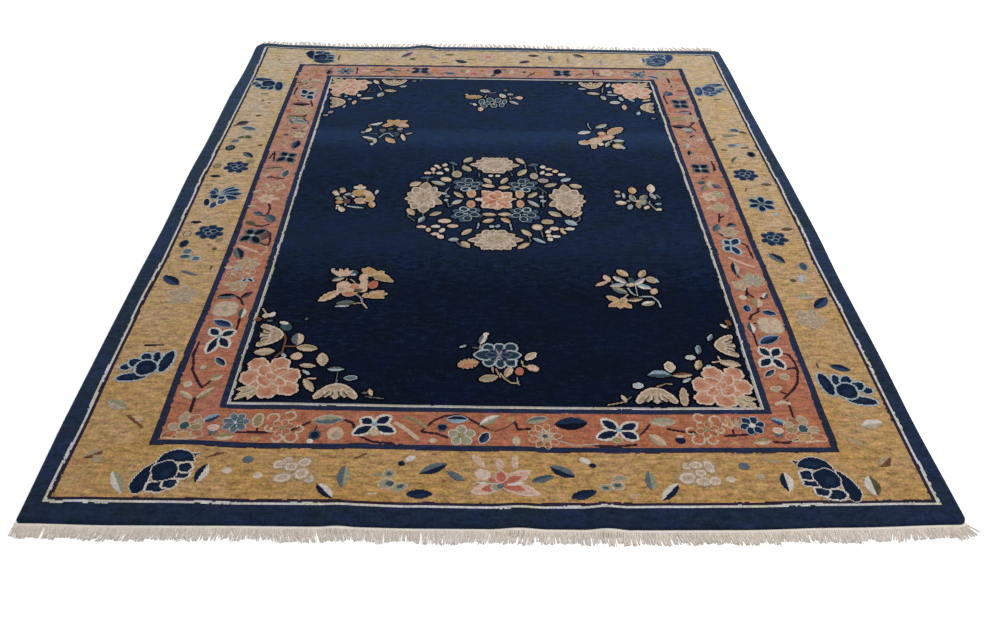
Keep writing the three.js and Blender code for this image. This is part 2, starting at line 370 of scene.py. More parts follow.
def window(x, y, reach):
    """The part of the chart near a plan point, and how far its knots lie from the point."""
    columns = slice(*np.searchsorted(KNOT_U, (x - reach - BAND_BEND, x + reach + BAND_BEND)))
    rows = slice(*np.searchsorted(KNOT_V, (y - reach - BAND_BEND, y + reach + BAND_BEND)))
    return (rows, columns), PLAN_X[rows, columns] - x, PLAN_Y[rows, columns] - y


def unturned(dx, dy, turn):
    """Distances along and across a shape that lies turned by some degrees."""
    angle = math.radians(turn)
    return dx * math.cos(angle) + dy * math.sin(angle), dy * math.cos(angle) - dx * math.sin(angle)


def turned(x, y, right, up, turn):
    """The place so far right of a point and above it, with the shape turned by some degrees."""
    cos, sin = math.cos(math.radians(turn)), math.sin(math.radians(turn))
    return x + right * cos - up * sin, y + right * sin + up * cos


def heading(x, y, next_x, next_y):
    """Length and direction of a line."""
    length = math.hypot(next_x - x, next_y - y)
    return length, (next_x - x) / length, (next_y - y) / length


def shrunk(inside):
    """A shape without the knots of its rim."""
    core = inside.copy()
    core[1:] &= inside[:-1]
    core[:-1] &= inside[1:]
    core[:, 1:] &= inside[:, :-1]
    core[:, :-1] &= inside[:, 1:]
    return core


def grown(inside, neighbours):
    """A shape with the knots about it: four neighbours for each knot, or eight."""
    wider = inside.copy()
    wider[1:] |= inside[:-1]
    wider[:-1] |= inside[1:]
    upright = wider if neighbours == 8 else inside
    whole = wider.copy()
    whole[:, 1:] |= upright[:, :-1]
    whole[:, :-1] |= upright[:, 1:]
    return whole


def paint(place, inside, dye, edge=None, edge_knots=1):
    """Dyes the knots of a shape, with an edge of one or more knots in another dye."""
    part = CHART[place]
    part[inside] = DYE_NUMBER[dye]
    if edge:
        core = inside
        for _ in range(edge_knots):
            core = shrunk(core)
        part[inside & ~core] = DYE_NUMBER[edge]


def leaf(x, y, length, width, turn, dye, other=None, edge=None, bend=0, roundness=0.8, teeth=0):
    """A pointed oval. Its right-hand half may have another dye, and its sides may be toothed."""
    place, dx, dy = window(x, y, length / 2)
    along, across = unturned(dx, dy, turn)
    along = along / (length / 2)
    profile = np.clip(1 - along ** 2, 0, 1)
    across = across - bend * (profile - 0.5)
    half = width / 2 * profile ** roundness
    if teeth:
        half = half * (TOOTH_GAP + TOOTH_HEIGHT * np.abs(np.sin(along * teeth * np.pi / 2)))
    inside = (np.abs(along) < 1) & (np.abs(across) < half)
    edge_knots = 2 if min(length, width) >= WIDE_EDGE_FROM else 1
    paint(place, inside, dye, edge, edge_knots)
    if other:
        core = inside & shrunk(inside) if edge else inside
        paint(place, core & (across < 0), other)


def blade(x, y, tip_x, tip_y, width, dye, other=None, edge=None, bend=0):
    """A leaf from its foot to its tip."""
    length = math.hypot(tip_x - x, tip_y - y)
    turn = math.degrees(math.atan2(tip_y - y, tip_x - x))
    leaf((x + tip_x) / 2, (y + tip_y) / 2, length, width, turn, dye, other, edge, bend)


def oval(x, y, length, width, turn, dye, edge=None):
    leaf(x, y, length, width, turn, dye, edge=edge, roundness=0.5)


def dome(x, y, width, height, turn, dye, edge=None):
    """Half of an oval, its flat foot centred on the point. It hangs down where the height is negative."""
    place, dx, dy = window(x, y, max(width / 2, height))
    across, up = unturned(dx, dy, turn)
    across = across / (width / 2)
    up = up / height
    paint(place, (up > 0) & (np.hypot(across, up) < 1), dye, edge)


def drop(x, y, tip_x, tip_y, width, dye, edge=None, bend=0):
    """A petal with a blunt foot at the point and a narrow tip."""
    length, run_x, run_y = heading(x, y, tip_x, tip_y)
    place, dx, dy = window((x + tip_x) / 2, (y + tip_y) / 2, length / 2 + width / 2)
    along = (dx * run_x + dy * run_y) / length + 0.5
    across = dy * run_x - dx * run_y - bend * along * (1 - along) * 4
    profile = np.clip(along * FOOT_SLOPE, 0, 1) ** 0.5 * np.clip(1 - along ** 2, 0, 1) ** 0.7
    paint(place, (along > 0) & (along < 1) & (np.abs(across) < width / 2 * profile), dye, edge)


def stem(dye, width, *points):
    """A line of even width through a few points."""
    for (x, y), (next_x, next_y) in zip(points, points[1:]):
        length, run_x, run_y = heading(x, y, next_x, next_y)
        place, dx, dy = window((x + next_x) / 2, (y + next_y) / 2, length / 2 + width)
        along = np.clip(dx * run_x + dy * run_y, -length / 2, length / 2)
        inside = np.hypot(dx - along * run_x, dy - along * run_y) < width / 2
        paint(place, inside, dye)


def blossom(x, y, radius, petals, turn, dye, edge=None, heart=None, fullness=1.0):
    """Round petals about a heart."""
    reach = PETAL_REACH * radius
    width = 2 * reach * math.sin(math.pi / petals) * PETAL_OVERLAP * fullness
    for k in range(petals):
        angle = turn + 360 * k / petals
        px = x + reach * math.cos(math.radians(angle))
        py = y + reach * math.sin(math.radians(angle))
        oval(px, py, PETAL_LENGTH * radius, width, angle, dye, edge)
    if heart:
        oval(x, y, HEART_SHARE * radius, HEART_SHARE * radius, 0, heart)


def star(x, y, width, dye, edge, heart, *tips):
    """A petal from the middle to each tip, with a small heart."""
    for tip_x, tip_y in tips:
        blade(x, y, tip_x, tip_y, width + 2 * KNOT, edge or dye)
    for tip_x, tip_y in tips:
        blade(x, y, tip_x, tip_y, width, dye, None, edge)
    if heart:
        oval(x, y, *STAR_HEART, 0, heart)


def curl(x, y, radius, turn, dye):
    """A hooked line: most of a ring, open towards the turn."""
    place, dx, dy = window(x, y, radius)
    away = (np.degrees(np.arctan2(dy, dx)) - turn + CURL_OPENING / 2) % 360
    on_line = np.abs(np.hypot(dx, dy) - radius + CURL_HALF_LINE) < CURL_HALF_LINE
    paint(place, on_line & (away > CURL_OPENING), dye)


def draw(stems=(), blades=(), leaves=(), ovals=(), stars=(), blossoms=()):
    """Knots one part of the pattern from its tables."""
    for table, motif in (
        (stems, stem), (blades, blade), (leaves, leaf), (ovals, oval), (stars, star), (blossoms, blossom),
    ):
        for row in table:
            motif(*row)


# Each table below holds one kind of motif of one part of the rug, placed in plan millimetres:
# stems: dye, width, then the points they go through
# blades: foot x, foot y, tip x, tip y, width, dye, dye of the right-hand half, edge dye, bend
# leaves: x, y, length, width, turn, dye, dye of the right-hand half, edge dye, bend, roundness, teeth
# ovals: x, y, length, width, turn, dye, edge dye
# stars: x, y, petal width, dye, edge dye, heart dye, then the petals' tips
# blossoms: x, y, radius, petals, turn, dye, edge dye, heart dye, fullness
# A shape dyed as "ground" shows the band between its outlines.


def medallion():
    """The round spray in the middle: four beige peonies, four blue flowers and a salmon one."""
    draw(
        stems=[
            ("slate", 6, (-178, 325), (-172, 300), (-176, 262)),
            ("slate", 6, (150, 400), (162, 350), (166, 300), (152, 262)),
            ("slate", 6, (-352, -60), (-362, -112), (-330, -150)),
            ("slate", 6, (-150, -300), (-138, -325), (-118, -345)),
            ("mist", 6, (76, -150), (84, -215)),
            ("slate", 6, (206, -200), (214, -265)),
            ("mist", 6, (-55, -165), (-60, -205)),
            ("slate", 6, (-55, 262), (-52, 230)),
            ("slate", 6, (95, 262), (100, 235)),
            ("slate", 6, (-195, 10), (-186, -35), (-165, -20)),
            ("slate", 6, (232, 95), (228, -30)),
            ("lilac", 6, (-190, 125), (-205, 90)),
            ("slate", 6, (210, 320), (214, 270)),
            ("slate", 6, (215, 135), (250, 88)),
            ("slate", 6, (380, -105), (382, -130), (362, -155)),
            ("slate", 6, (155, -250), (160, -300)),
            ("slate", 6, (-122, 345), (-125, 320)),
            ("slate", 6, (-290, 200), (-292, 170)),
            ("slate", 6, (-296, -100), (-292, -130)),
            ("slate", 6, (328, 190), (330, 165)),
        ],
        leaves=[
            (-105, 382, 62, 36, 50, "pearl", "sage"), (-112, 300, 64, 36, -52, "pearl", "sage"),
            (140, 378, 64, 28, -58, "cream", "pearl"), (146, 268, 74, 34, 55, "sage", "cream"),
            (-344, 156, 60, 38, 35, "pearl", "cream"), (-240, 166, 72, 32, -24, "mist", "sage"),
            (-350, -78, 66, 32, -62, "sand", "cream"), (-242, -92, 62, 28, 30, "sage", "pearl"),
            (272, 156, 66, 30, 24, "sage", "pearl"), (386, 150, 60, 36, -22, "cream", "pearl"),
            (276, -88, 68, 34, -36, "sage", "cream"), (372, -88, 68, 30, 45, "sand", "cream"),
            (-106, -232, 60, 28, 48, "cream", "pearl"), (-110, -326, 58, 32, -55, "cream", "sand"),
            (146, -236, 62, 28, -48, "pearl", "cream"), (130, -332, 66, 28, 40, "sand", "cream"),
            (-15, 190, 60, 28, -52, "cream", "sand"), (62, 192, 62, 28, 62, "cream", "sage"),
            (-12, 146, 62, 28, -10, "cream", "blush"), (60, 132, 58, 28, 8, "pearl", "cream"),
            (-10, -96, 62, 28, -6, "cream", "sand"), (58, -93, 58, 28, 4, "cream", "pearl"),
            (-14, -146, 54, 30, 26, "cream", "sand"), (60, -140, 52, 28, -42, "ochre", "cream"),
            (-145, 66, 64, 26, -50, "sage", "cream"), (-152, 4, 58, 28, 38, "mist", "cream"),
            (186, 68, 62, 28, 48, "sage", "cream"), (186, -5, 74, 26, -48, "mist", "sage"),
            (-300, -140, 54, 28, 65, "mist", "slate"), (345, 206, 56, 28, 28, "sky", "mist"),
            (340, -156, 62, 36, -35, "mist", "sky"), (-160, -290, 46, 26, 10, "mist", "lilac"),
            (196, -294, 66, 20, -36, "mist", "sky"), (-294, 216, 66, 22, 5, "blue", "slate"),
            (-176, 346, 56, 24, -40, "slate", "blue"), (202, 338, 54, 30, 10, "slate", "blue"),
        ],
        ovals=[
            (-156, 248, 60, 46, 90, "sage", "pearl"), (200, 236, 54, 38, 90, "sand", "mist"),
            (240, 196, 48, 38, 0, "lilac", "pearl"), (-205, 200, 52, 40, -30, "blush", "cream"),
            (-202, -150, 58, 32, 0, "blush", "cream"), (-166, -188, 48, 28, 0, "cream", "pearl"),
            (240, -150, 54, 36, 0, "sand", "cream"), (194, -192, 46, 44, 0, "blush", "cream"),
            (0, 236, 22, 20, 0, "white"), (32, 236, 24, 20, 0, "white"), (-210, 76, 24, 20, 0, "mist"),
            (-194, 52, 24, 18, 30, "lilac"), (-200, 20, 20, 18, 0, "mist"), (225, 54, 20, 20, 0, "mist"),
            (230, 18, 26, 20, 0, "mist"), (0, -190, 22, 20, 0, "mist"), (26, -186, 26, 18, 60, "sky"),
            (-252, 322, 30, 20, -50, "white"), (-214, 332, 30, 22, 70, "blush"),
            (-268, 292, 30, 22, -60, "blush"), (-204, 290, 32, 20, -70, "white"),
            (-292, 256, 34, 24, 0, "blush"), (-236, 256, 34, 24, 0, "white"),
            (-240, 305, 20, 14, 40, "blush"), (-265, 262, 12, 26, 0, "cream"),
            (246, 322, 26, 28, 0, "white"), (272, 302, 34, 18, 0, "blush"), (241, 268, 34, 20, 65, "white"),
            (302, 282, 30, 26, 40, "blush"), (270, 252, 36, 22, 0, "blush"), (330, 252, 38, 24, 0, "white"),
            (-298, -196, 40, 22, 0, "blush"), (-238, -192, 40, 22, 0, "white"),
            (-268, -218, 32, 22, 90, "cream"), (-238, -250, 36, 22, 0, "blush"),
            (-210, -222, 34, 22, 70, "white"), (-215, -270, 34, 26, -50, "blush"),
            (266, -202, 38, 28, 0, "blush"), (332, -204, 40, 22, 0, "white"),
            (238, -226, 30, 22, 60, "white"), (302, -228, 36, 18, -55, "cream"),
            (240, -256, 24, 22, 0, "blush"), (270, -262, 38, 20, 0, "white"),
            (244, -284, 28, 24, 90, "white"), (298, -206, 22, 14, 0, "cream"),
            (-88, 78, 72, 42, 90, "peach", "cream"), (-90, -12, 62, 38, 90, "peach", "cream"),
            (128, 76, 70, 40, 90, "peach", "cream"), (128, -8, 64, 34, 90, "peach", "cream"),
            (-88, 84, 34, 16, 90, "ochre"), (-90, -16, 30, 16, 90, "salmon"),
            (128, 80, 32, 16, 90, "ochre"), (128, -12, 30, 14, 90, "ochre"),
        ],
    )
    wide = [
        (118, 2, 46), (86, 44, 60), (62, 72, 60), (24, 76, 66), (-16, 76, 66), (-58, 74, 60), (-88, 42, 60),
        (-118, 6, 46), (-82, -34, 54), (-52, -68, 64), (-8, -74, 68), (40, -72, 66), (82, -38, 54),
    ]
    tall = [
        (6, 134, 62), (52, 92, 62), (80, 44, 58), (60, 2, 52), (84, -52, 56), (44, -84, 60), (4, -130, 62),
        (-46, -96, 60), (-66, -52, 56), (-84, -12, 50), (-76, 40, 58), (-48, 90, 60),
    ]
    rayed_peony(20, 332, 1, 1, wide)
    rayed_peony(15, -288, 1, -1, wide)
    rayed_peony(-300, 40, 1, 1, tall)
    rayed_peony(338, 28, -1, 1, tall)
    for x, y, side, up in ((-104, 152, 1, 1), (146, 150, -1, 1), (-108, -90, 1, -1), (142, -92, -1, -1)):
        blue_flower(x, y, side, up)
    star(
        26, 24, 54, "peach", "blush", None, (-40, 104), (92, 90), (-42, -40), (88, -42), (-54, 28),
        (100, 34), (30, 106), (26, -58), (-4, 84), (-8, -46),
    )
    draw(
        blades=[
            (26, 20, 64, -24, 16, "salmon"), (26, 24, -8, 66, 16, "coral"), (26, 24, -28, -10, 16, "coral"),
            (-30, 40, -40, 84, 12, "salmon"), (30, 30, 30, 84, 10, "ochre"), (26, 20, 26, -46, 10, "blush"),
            (40, 34, 76, 66, 14, "blush"), (0, -10, -30, -34, 10, "blush"),
        ],
        ovals=[
            (-56, 28, 32, 24, 0, "white"), (102, 32, 20, 16, 0, "cream"),
            (28, 26, 22, 20, 0, "ochre", "cream"),
        ],
    )


def scalloped(x, y, width, height, lobes, depth, dye, edge, turn=0, squareness=2.0, edge_knots=1):
    """A rounded block with a scalloped rim."""
    place, dx, dy = window(x, y, max(width, height) * 0.6)
    across, up = unturned(dx, dy, turn)
    across = across / (width / 2)
    up = up / (height / 2)
    radius = (np.abs(across) ** squareness + np.abs(up) ** squareness) ** (1 / squareness)
    around = np.arctan2(up, across)
    rim = 1 - depth + depth * np.abs(np.cos(around * lobes / 2)) ** SCALLOP_SHARPNESS
    paint(place, radius < rim, dye, edge, edge_knots)


def rayed_peony(x, y, side, up, tips):
    """A beige peony: pointed petals out to its tips, and two smaller rounds of them on top."""
    for number, (right, rise, width) in enumerate(tips):
        edge = "lint" if number % 2 else "cream"
        blade(x, y, x + side * right, y + up * rise, width, "dove", None, edge)
    for share, dye, edge in ((0.72, "pearl", "lint"), (0.46, "dove", "cream")):
        for (right, rise, width), (next_right, next_rise, _) in zip(tips, tips[1:] + tips[:1]):
            middle_x = x + side * share * (right + next_right) / 2
            middle_y = y + up * share * (rise + next_rise) / 2
            blade(x, y, middle_x, middle_y, share * width * 0.8, dye, None, edge)
    oval(x, y, 16, 14, 0, "sand")


def blue_flower(x, y, side, up):
    """A blue flower of the medallion: plain petals behind pale-edged ones."""
    for right, rise, length, width, turn in (
        (-46, 22, 44, 32, -12), (48, 16, 40, 28, 10), (44, -26, 36, 28, -40), (-44, -18, 40, 30, 40),
        (-18, 48, 36, 30, 90),
    ):
        oval(x + side * right, y + up * rise, length, width, side * up * turn, "denim", "slate")
    for right, rise, length, width, turn in (
        (-30, 6, 44, 36, -20), (4, 38, 38, 44, 0), (34, 8, 42, 36, 14), (-12, -36, 44, 40, 40),
        (26, -30, 36, 34, -40),
    ):
        oval(x + side * right, y + up * rise, length, width, side * up * turn, "petrol", "mist")
    oval(x, y, 16, 14, 0, "sky")


def corner_peony(x, y, side, end):
    """The peony of a field corner, paler at the far end: seven outlined petals round the inner ones."""
    petal, shade = ("peach", "salmon") if end > 0 else ("pink", "peach")
    for right, up, length, width, turn in (
        (-56, 66, 76, 74, 120), (-66, 2, 88, 82, 0), (-40, -42, 74, 62, 60), (62, 8, 76, 86, 0),
        (58, -50, 92, 72, -20), (16, 62, 90, 78, 80), (-3, -60, 84, 84, 90),
    ):
        px = x + side * right
        py = y + end * up
        scalloped(px, py, length, width, 7, 0.15, petal, "blush", side * end * turn, 2.2, 2)
        inner_x = px + side * 0.2 * right
        oval(inner_x, py + end * 0.2 * up, 0.44 * length, 0.4 * width, side * end * turn, shade)
    for right, up, length, width, turn in (
        (-30, 34, 66, 46, 120), (24, 28, 68, 42, 30), (28, -18, 70, 40, -40), (-24, -16, 72, 42, 130),
        (0, 6, 54, 34, 140),
    ):
        leaf(x + side * right, y + end * up, length, width, side * end * turn, shade, petal, "blush", 0, 0.55)
    oval(x + side * 8, y - 2, 20, 16, 0, "coral", "cream")


def corner_leaf(x, y, side, end):
    """The toothed leaf beside a corner peony."""
    for tip_x, tip_y in ((-64, -58), (-66, -8), (-18, -56), (-58, -34)):
        drop(x, y, x + side * tip_x, y + end * tip_y, 32, "cream")
        blade(x, y, x + side * 0.8 * tip_x, y + end * 0.8 * tip_y, 11, "sage")


def half_blossom(x, y, length, width, turn):
    """A cream flower seen from the side: a broad crescent, scalloped below, and a lobe that hangs from it."""
    leaf(x, y, length, width * 1.1, turn, "sand", None, "lint", width * 0.7, 0.5)
    for right, up, reach, lobe, lean in (
        (-0.36, -0.2, 0.34, 0.46, 48), (0.36, -0.2, 0.34, 0.46, -48), (-0.18, -0.02, 0.3, 0.4, 70),
        (0.18, -0.02, 0.3, 0.4, -70), (0, -0.1, 0.34, 0.5, 90),
    ):
        px, py = turned(x, y, right * length, up * width, turn)
        oval(px, py, reach * length, lobe * width, turn + lean, "sand" if right else "pearl", "lint")
    for right in (-0.3, -0.1, 0.1, 0.3):
        foot = turned(x, y, 0.5 * right * length, 0.15 * width, turn)
        tip = turned(x, y, 1.1 * right * length, -0.5 * width, turn)
        blade(*foot, *tip, 7, "moss")


def field_corners():
    """The corner sprays of the field: a salmon peony, half blossoms along both sides, leaves and buds."""
    draw(
        stems=[
            ("brown", 8, (-757, -905), (-746, -935), (-748, -1000), (-768, -1030)),
            ("brown", 7, (-748, -972), (-700, -972)),
            ("pearl", 6, (-862, -758), (-846, -782)),
            ("slate", 5, (-540, -1112), (-537, -1180)),
            ("slate", 5, (-432, -1226), (-372, -1236)),
            ("sand", 5, (375, -1262), (440, -1246)),
            ("slate", 5, (438, -1240), (456, -1224)),
            ("olive", 5, (550, -1174), (585, -1158), (606, -1160)),
            ("pink", 6, (770, -1046), (800, -1042), (794, -1018)),
            ("brown", 7, (868, -812), (864, -860)),
            ("lilac", 6, (-600, 1192), (-580, 1140)),
            ("lilac", 6, (622, 1196), (614, 1140)),
            ("slate", 5, (-640, 1155), (-655, 1118), (-612, 1124)),
            ("slate", 5, (655, 1145), (640, 1112)),
        ],
        leaves=[
            (-810, -1002, 74, 38, 6, "cream", "sand"), (-664, -981, 76, 36, -6, "olive", "cream", "cream"),
            (-704, -932, 66, 46, 96, "slate", "cream"), (-648, -1074, 58, 22, -6, "cream", "sand"),
            (-648, -1108, 42, 13, -40, "mist"), (-630, -1172, 74, 28, -58, "sand", "cream"),
            (-739, -1019, 28, 13, -50, "mist"), (-601, -1041, 70, 40, -80, "sand", "cream", "cream"),
            (-548, -1091, 58, 22, 0, "slate", "mist"), (-418, -1206, 34, 16, -75, "cream"),
            (-624, -1139, 34, 10, 0, "pink"), (-437, -1208, 22, 10, 0, "slate"),
            (828, -1052, 78, 34, -15, "sand", "cream"), (716, -1060, 56, 26, 70, "cream", "olive"),
            (748, -1070, 28, 14, 50, "mist"), (786, -913, 44, 18, 60, "mist", "slate"),
            (731, -978, 50, 24, 80, "sky", "slate"), (612, -1072, 58, 40, 90, "sand", "cream", "white"),
            (650, -1114, 72, 24, 5, "brown", "cream"), (660, -1141, 36, 13, 32, "mist"),
            (570, -1112, 84, 36, 0, "sky", "teal", None, 8), (432, -1230, 34, 15, -70, "cream"),
            (-812, 1066, 52, 20, -18, "pearl", "cream"), (-650, 1036, 74, 24, 8, "mist", "cream"),
            (-710, 984, 50, 22, 80, "pink", "pearl"), (-757, 936, 40, 14, 75, "sky"),
            (-617, 1240, 60, 26, -62, "cream", "white"), (-467, 1188, 44, 22, 20, "sky", "mist"),
            (-532, 1132, 70, 30, -8, "sage", "cream"), (-580, 1082, 56, 36, 68, "mist", "sage"),
            (-848, 1196, 34, 14, -60, "mist"), (876, 1152, 40, 16, 55, "white"),
            (655, 1230, 54, 22, 68, "white", "mist"), (508, 1182, 50, 20, -5, "sky", "mist"),
            (564, 1122, 72, 32, -12, "cream", "sage"), (612, 1070, 54, 28, -75, "mist", "sage"),
            (664, 1106, 64, 16, -6, "mist"), (705, 1060, 58, 22, -80, "mist", "sky"),
            (760, 1046, 48, 18, -50, "mist", "sky"), (712, 960, 60, 26, 88, "pink", "pearl"),
            (840, 1044, 62, 18, 20, "pearl", "cream"), (776, 892, 44, 22, 70, "sky", "mist"),
        ],
        ovals=[
            (-842, -800, 28, 26, 0, "cream"), (-820, -794, 30, 24, 60, "white"),
            (-866, -822, 26, 22, 0, "brown"), (-822, -830, 22, 10, 0, "slate"),
            (-757, -862, 56, 38, -60, "teal", None), (-768, -842, 34, 18, -20, "white"),
            (-694, -1025, 40, 38, 0, "pink", "cream"), (-492, -1135, 46, 24, 4, "slate", "mist"),
            (-690, -818, 12, 14, 0, "slate"), (850, -846, 30, 14, -50, "white"),
            (872, -826, 20, 36, 20, "brown"), (694, -1022, 36, 24, 0, "mist", "white"),
            (488, -1168, 38, 28, 10, "mist", "white"), (636, -1222, 88, 30, 84, "sand", "cream"),
            (-762, 1056, 20, 16, 0, "sky"), (-738, 1024, 20, 20, 0, "sky"),
            (-694, 1070, 22, 28, 0, "white"), (-722, 1082, 24, 24, 0, "cream"),
            (-820, 870, 34, 24, 60, "lilac"), (-840, 836, 26, 20, 0, "lilac"),
            (-652, 1230, 26, 30, 0, "mist"), (-410, 1258, 30, 22, 20, "slate"),
            (-374, 1270, 22, 12, 0, "slate"), (668, 1016, 54, 36, 0, "mist", "white"),
            (450, 1244, 30, 24, 50, "slate"), (404, 1254, 24, 14, 0, "slate"),
            (845, 834, 26, 20, 0, "slate"), (655, 1142, 26, 24, 0, "mist"),
        ],
    )
    for x, y, length, width, turn in (
        (-816, -912, 124, 64, -90), (-534, -1208, 148, 50, 0), (842, -958, 122, 54, 90),
        (542, -1224, 142, 52, 0), (-808, 985, 122, 58, -82), (-520, 1246, 138, 54, 180),
        (842, 958, 118, 52, 84), (562, 1236, 134, 58, 180),
    ):
        half_blossom(x, y, length, width, turn)
    for x, y, side, end in (
        (-762, -1136, 1, 1), (772, -1174, -1, 1), (-758, 1180, 1, -1), (776, 1166, -1, -1),
    ):
        corner_peony(x, y, side, end)
        corner_leaf(x - side * 42, y - end * 50, side, end)


def field_sprays():
    """Eight loose sprays about the medallion."""
    bottom_left_spray()
    bottom_centre_spray()
    bottom_right_spray()
    side_sprays()
    top_sprays()


def bottom_left_spray():
    draw(
        stems=[
            ("lilac", 7, (-524, -666), (-502, -692), (-495, -716)),
            ("sage", 7, (-495, -720), (-535, -726)),
            ("pearl", 7, (-490, -726), (-475, -752)),
            ("pearl", 5, (-571, -570), (-570, -598)), ("pearl", 5, (-556, -572), (-535, -592)),
        ],
        leaves=[
            (-604, -570, 52, 24, 24, "slate", "cream"),
            (-624, -678, 104, 42, 42, "ochre", "pink", "cream", 0, 0.8, 5),
            (-558, -722, 72, 34, 8, "slate", "moss"), (-568, -741, 56, 12, 4, "mist"),
        ],
        ovals=[
            (-546, -530, 36, 30, 80, "teal"), (-548, -542, 24, 14, 0, "mist"),
            (-506, -562, 54, 34, 90, "pink", "cream"), (-464, -606, 52, 38, 80, "coral", "salmon"),
            (-500, -606, 72, 34, 86, "cream", "sand"), (-578, -612, 56, 54, 0, "pink", "cream"),
            (-582, -640, 40, 40, 0, "sand", "pink"), (-552, -664, 52, 34, 0, "salmon", "pink"),
            (-534, -622, 50, 44, -30, "salmon", "pink"), (-502, -636, 38, 36, 0, "pink", "cream"),
            (-548, -640, 30, 18, 0, "cream"), (-518, -640, 34, 20, 0, "moss"),
            (-530, -658, 26, 12, 10, "ochre"), (-412, -664, 18, 14, 0, "mist"),
            (-632, -506, 14, 12, 0, "mist"),
        ],
    )
    for x, y, width, dye, tips in (
        (-466, -545, 44, "ochre", ((-520, -500), (-498, -488), (-426, -518), (-404, -556), (-386, -586))),
        (-474, -670, 36, "ochre", ((-416, -646), (-402, -664), (-412, -690), (-500, -682))),
        (-586, -550, 28, "pink", ((-640, -512), (-604, -500), (-574, -498), (-552, -514))),
    ):
        for tip_x, tip_y in tips:
            drop(x, y, tip_x, tip_y, width, dye, "cream")
    blade(-476, -546, -396, -584, 20, "olive")


def bottom_centre_spray():
    draw(
        stems=[
            ("sand", 6, (-48, -950), (-50, -1002)), ("slate", 6, (-75, -973), (-50, -980)),
            ("sand", 6, (96, -1046), (100, -1070), (116, -1080)), ("sand", 5, (5, -1088), (20, -1130)),
            ("sand", 6, (20, -1110), (38, -1140), (56, -1156), (80, -1156)),
            ("lilac", 5, (76, -1132), (82, -1166)), ("sand", 5, (-8, -1074), (-6, -1102)),
            ("mist", 5, (76, -1034), (82, -1048)),
        ],
        leaves=[
            (-40, -926, 64, 26, 70, "slate", "white"),
            (-92, -1060, 76, 50, 14, "ochre", "salmon", "sand", 0, 0.6, 5),
            (-22, -1134, 68, 36, 14, "olive", "sage", "cream"), (48, -1100, 58, 28, 70, "sand", "cream"),
            (128, -1020, 56, 32, 42, "sand", "cream", "white"),
        ],
        ovals=[
            (-28, -900, 24, 18, 20, "white"), (-112, -968, 28, 11, 28, "mist"),
            (86, -1099, 40, 28, 84, "coral", "salmon"), (134, -1082, 46, 32, -28, "pink", "sand"),
        ],
    )
    for x, y, length, width, turn in (
        (-20, -980, 58, 50, 110), (18, -976, 54, 46, 90), (58, -978, 62, 54, 70), (-18, -1050, 52, 48, -105),
        (22, -1058, 52, 42, -90), (56, -1052, 56, 46, -60),
    ):
        oval(x, y, length, width, turn, "petrol", "mist")
    for tip_x, tip_y, width in ((-76, -1013, 60), (98, -1016, 54)):
        blade(14, -1014, tip_x, tip_y, width, "petrol", None, "mist")
    for tip_x, tip_y in ((-18, -984), (44, -980), (64, -1012), (48, -1048), (-14, -1046), (-34, -1012)):
        blade(14, -1016, tip_x, tip_y, 26, "ink", None, "slate")
    stem("lilac", 5, (8, -986), (16, -1016), (6, -1040))
    stem("lilac", 5, (26, -996), (16, -1016), (28, -1036))


def bottom_right_spray():
    draw(
        stems=[
            ("mist", 6, (526, -620), (534, -645), (546, -662)), ("mist", 6, (556, -606), (556, -664)),
            ("mist", 6, (566, -672), (610, -670)), ("mist", 6, (610, -670), (630, -698), (635, -736)),
            ("pearl", 6, (520, -658), (500, -680)), ("slate", 5, (468, -576), (470, -600)),
        ],
        leaves=[
            (516, -519, 58, 34, -48, "cream", "ochre", "cream"),
            (594, -522, 56, 28, 62, "cream", "olive", "cream"), (450, -554, 48, 26, -70, "cream", "pink"),
            (427, -590, 62, 20, 30, "pink", "sand"), (500, -564, 70, 28, -42, "lilac", "white"),
            (574, -576, 70, 26, 42, "lilac", "white"), (486, -600, 60, 26, 14, "sky", "cream"),
            (590, -608, 60, 30, -22, "sky", "white"), (492, -634, 64, 32, -30, "sage", "slate"),
            (590, -714, 56, 28, 18, "white", "sage"), (544, -690, 60, 24, 8, "moss", "cream"),
            (624, -638, 40, 28, 62, "pink", "cream"),
        ],
        ovals=[
            (545, -570, 44, 26, 100, "teal"), (626, -562, 50, 38, -30, "sand", "cream"),
            (540, -596, 44, 22, 10, "cream"), (646, -566, 30, 9, -70, "mist"),
        ],
        stars=[
            (488, -706, 22, "ochre", "cream", "olive", (434, -668), (436, -734), (478, -746), (526, -742),
             (510, -680)),
        ],
    )


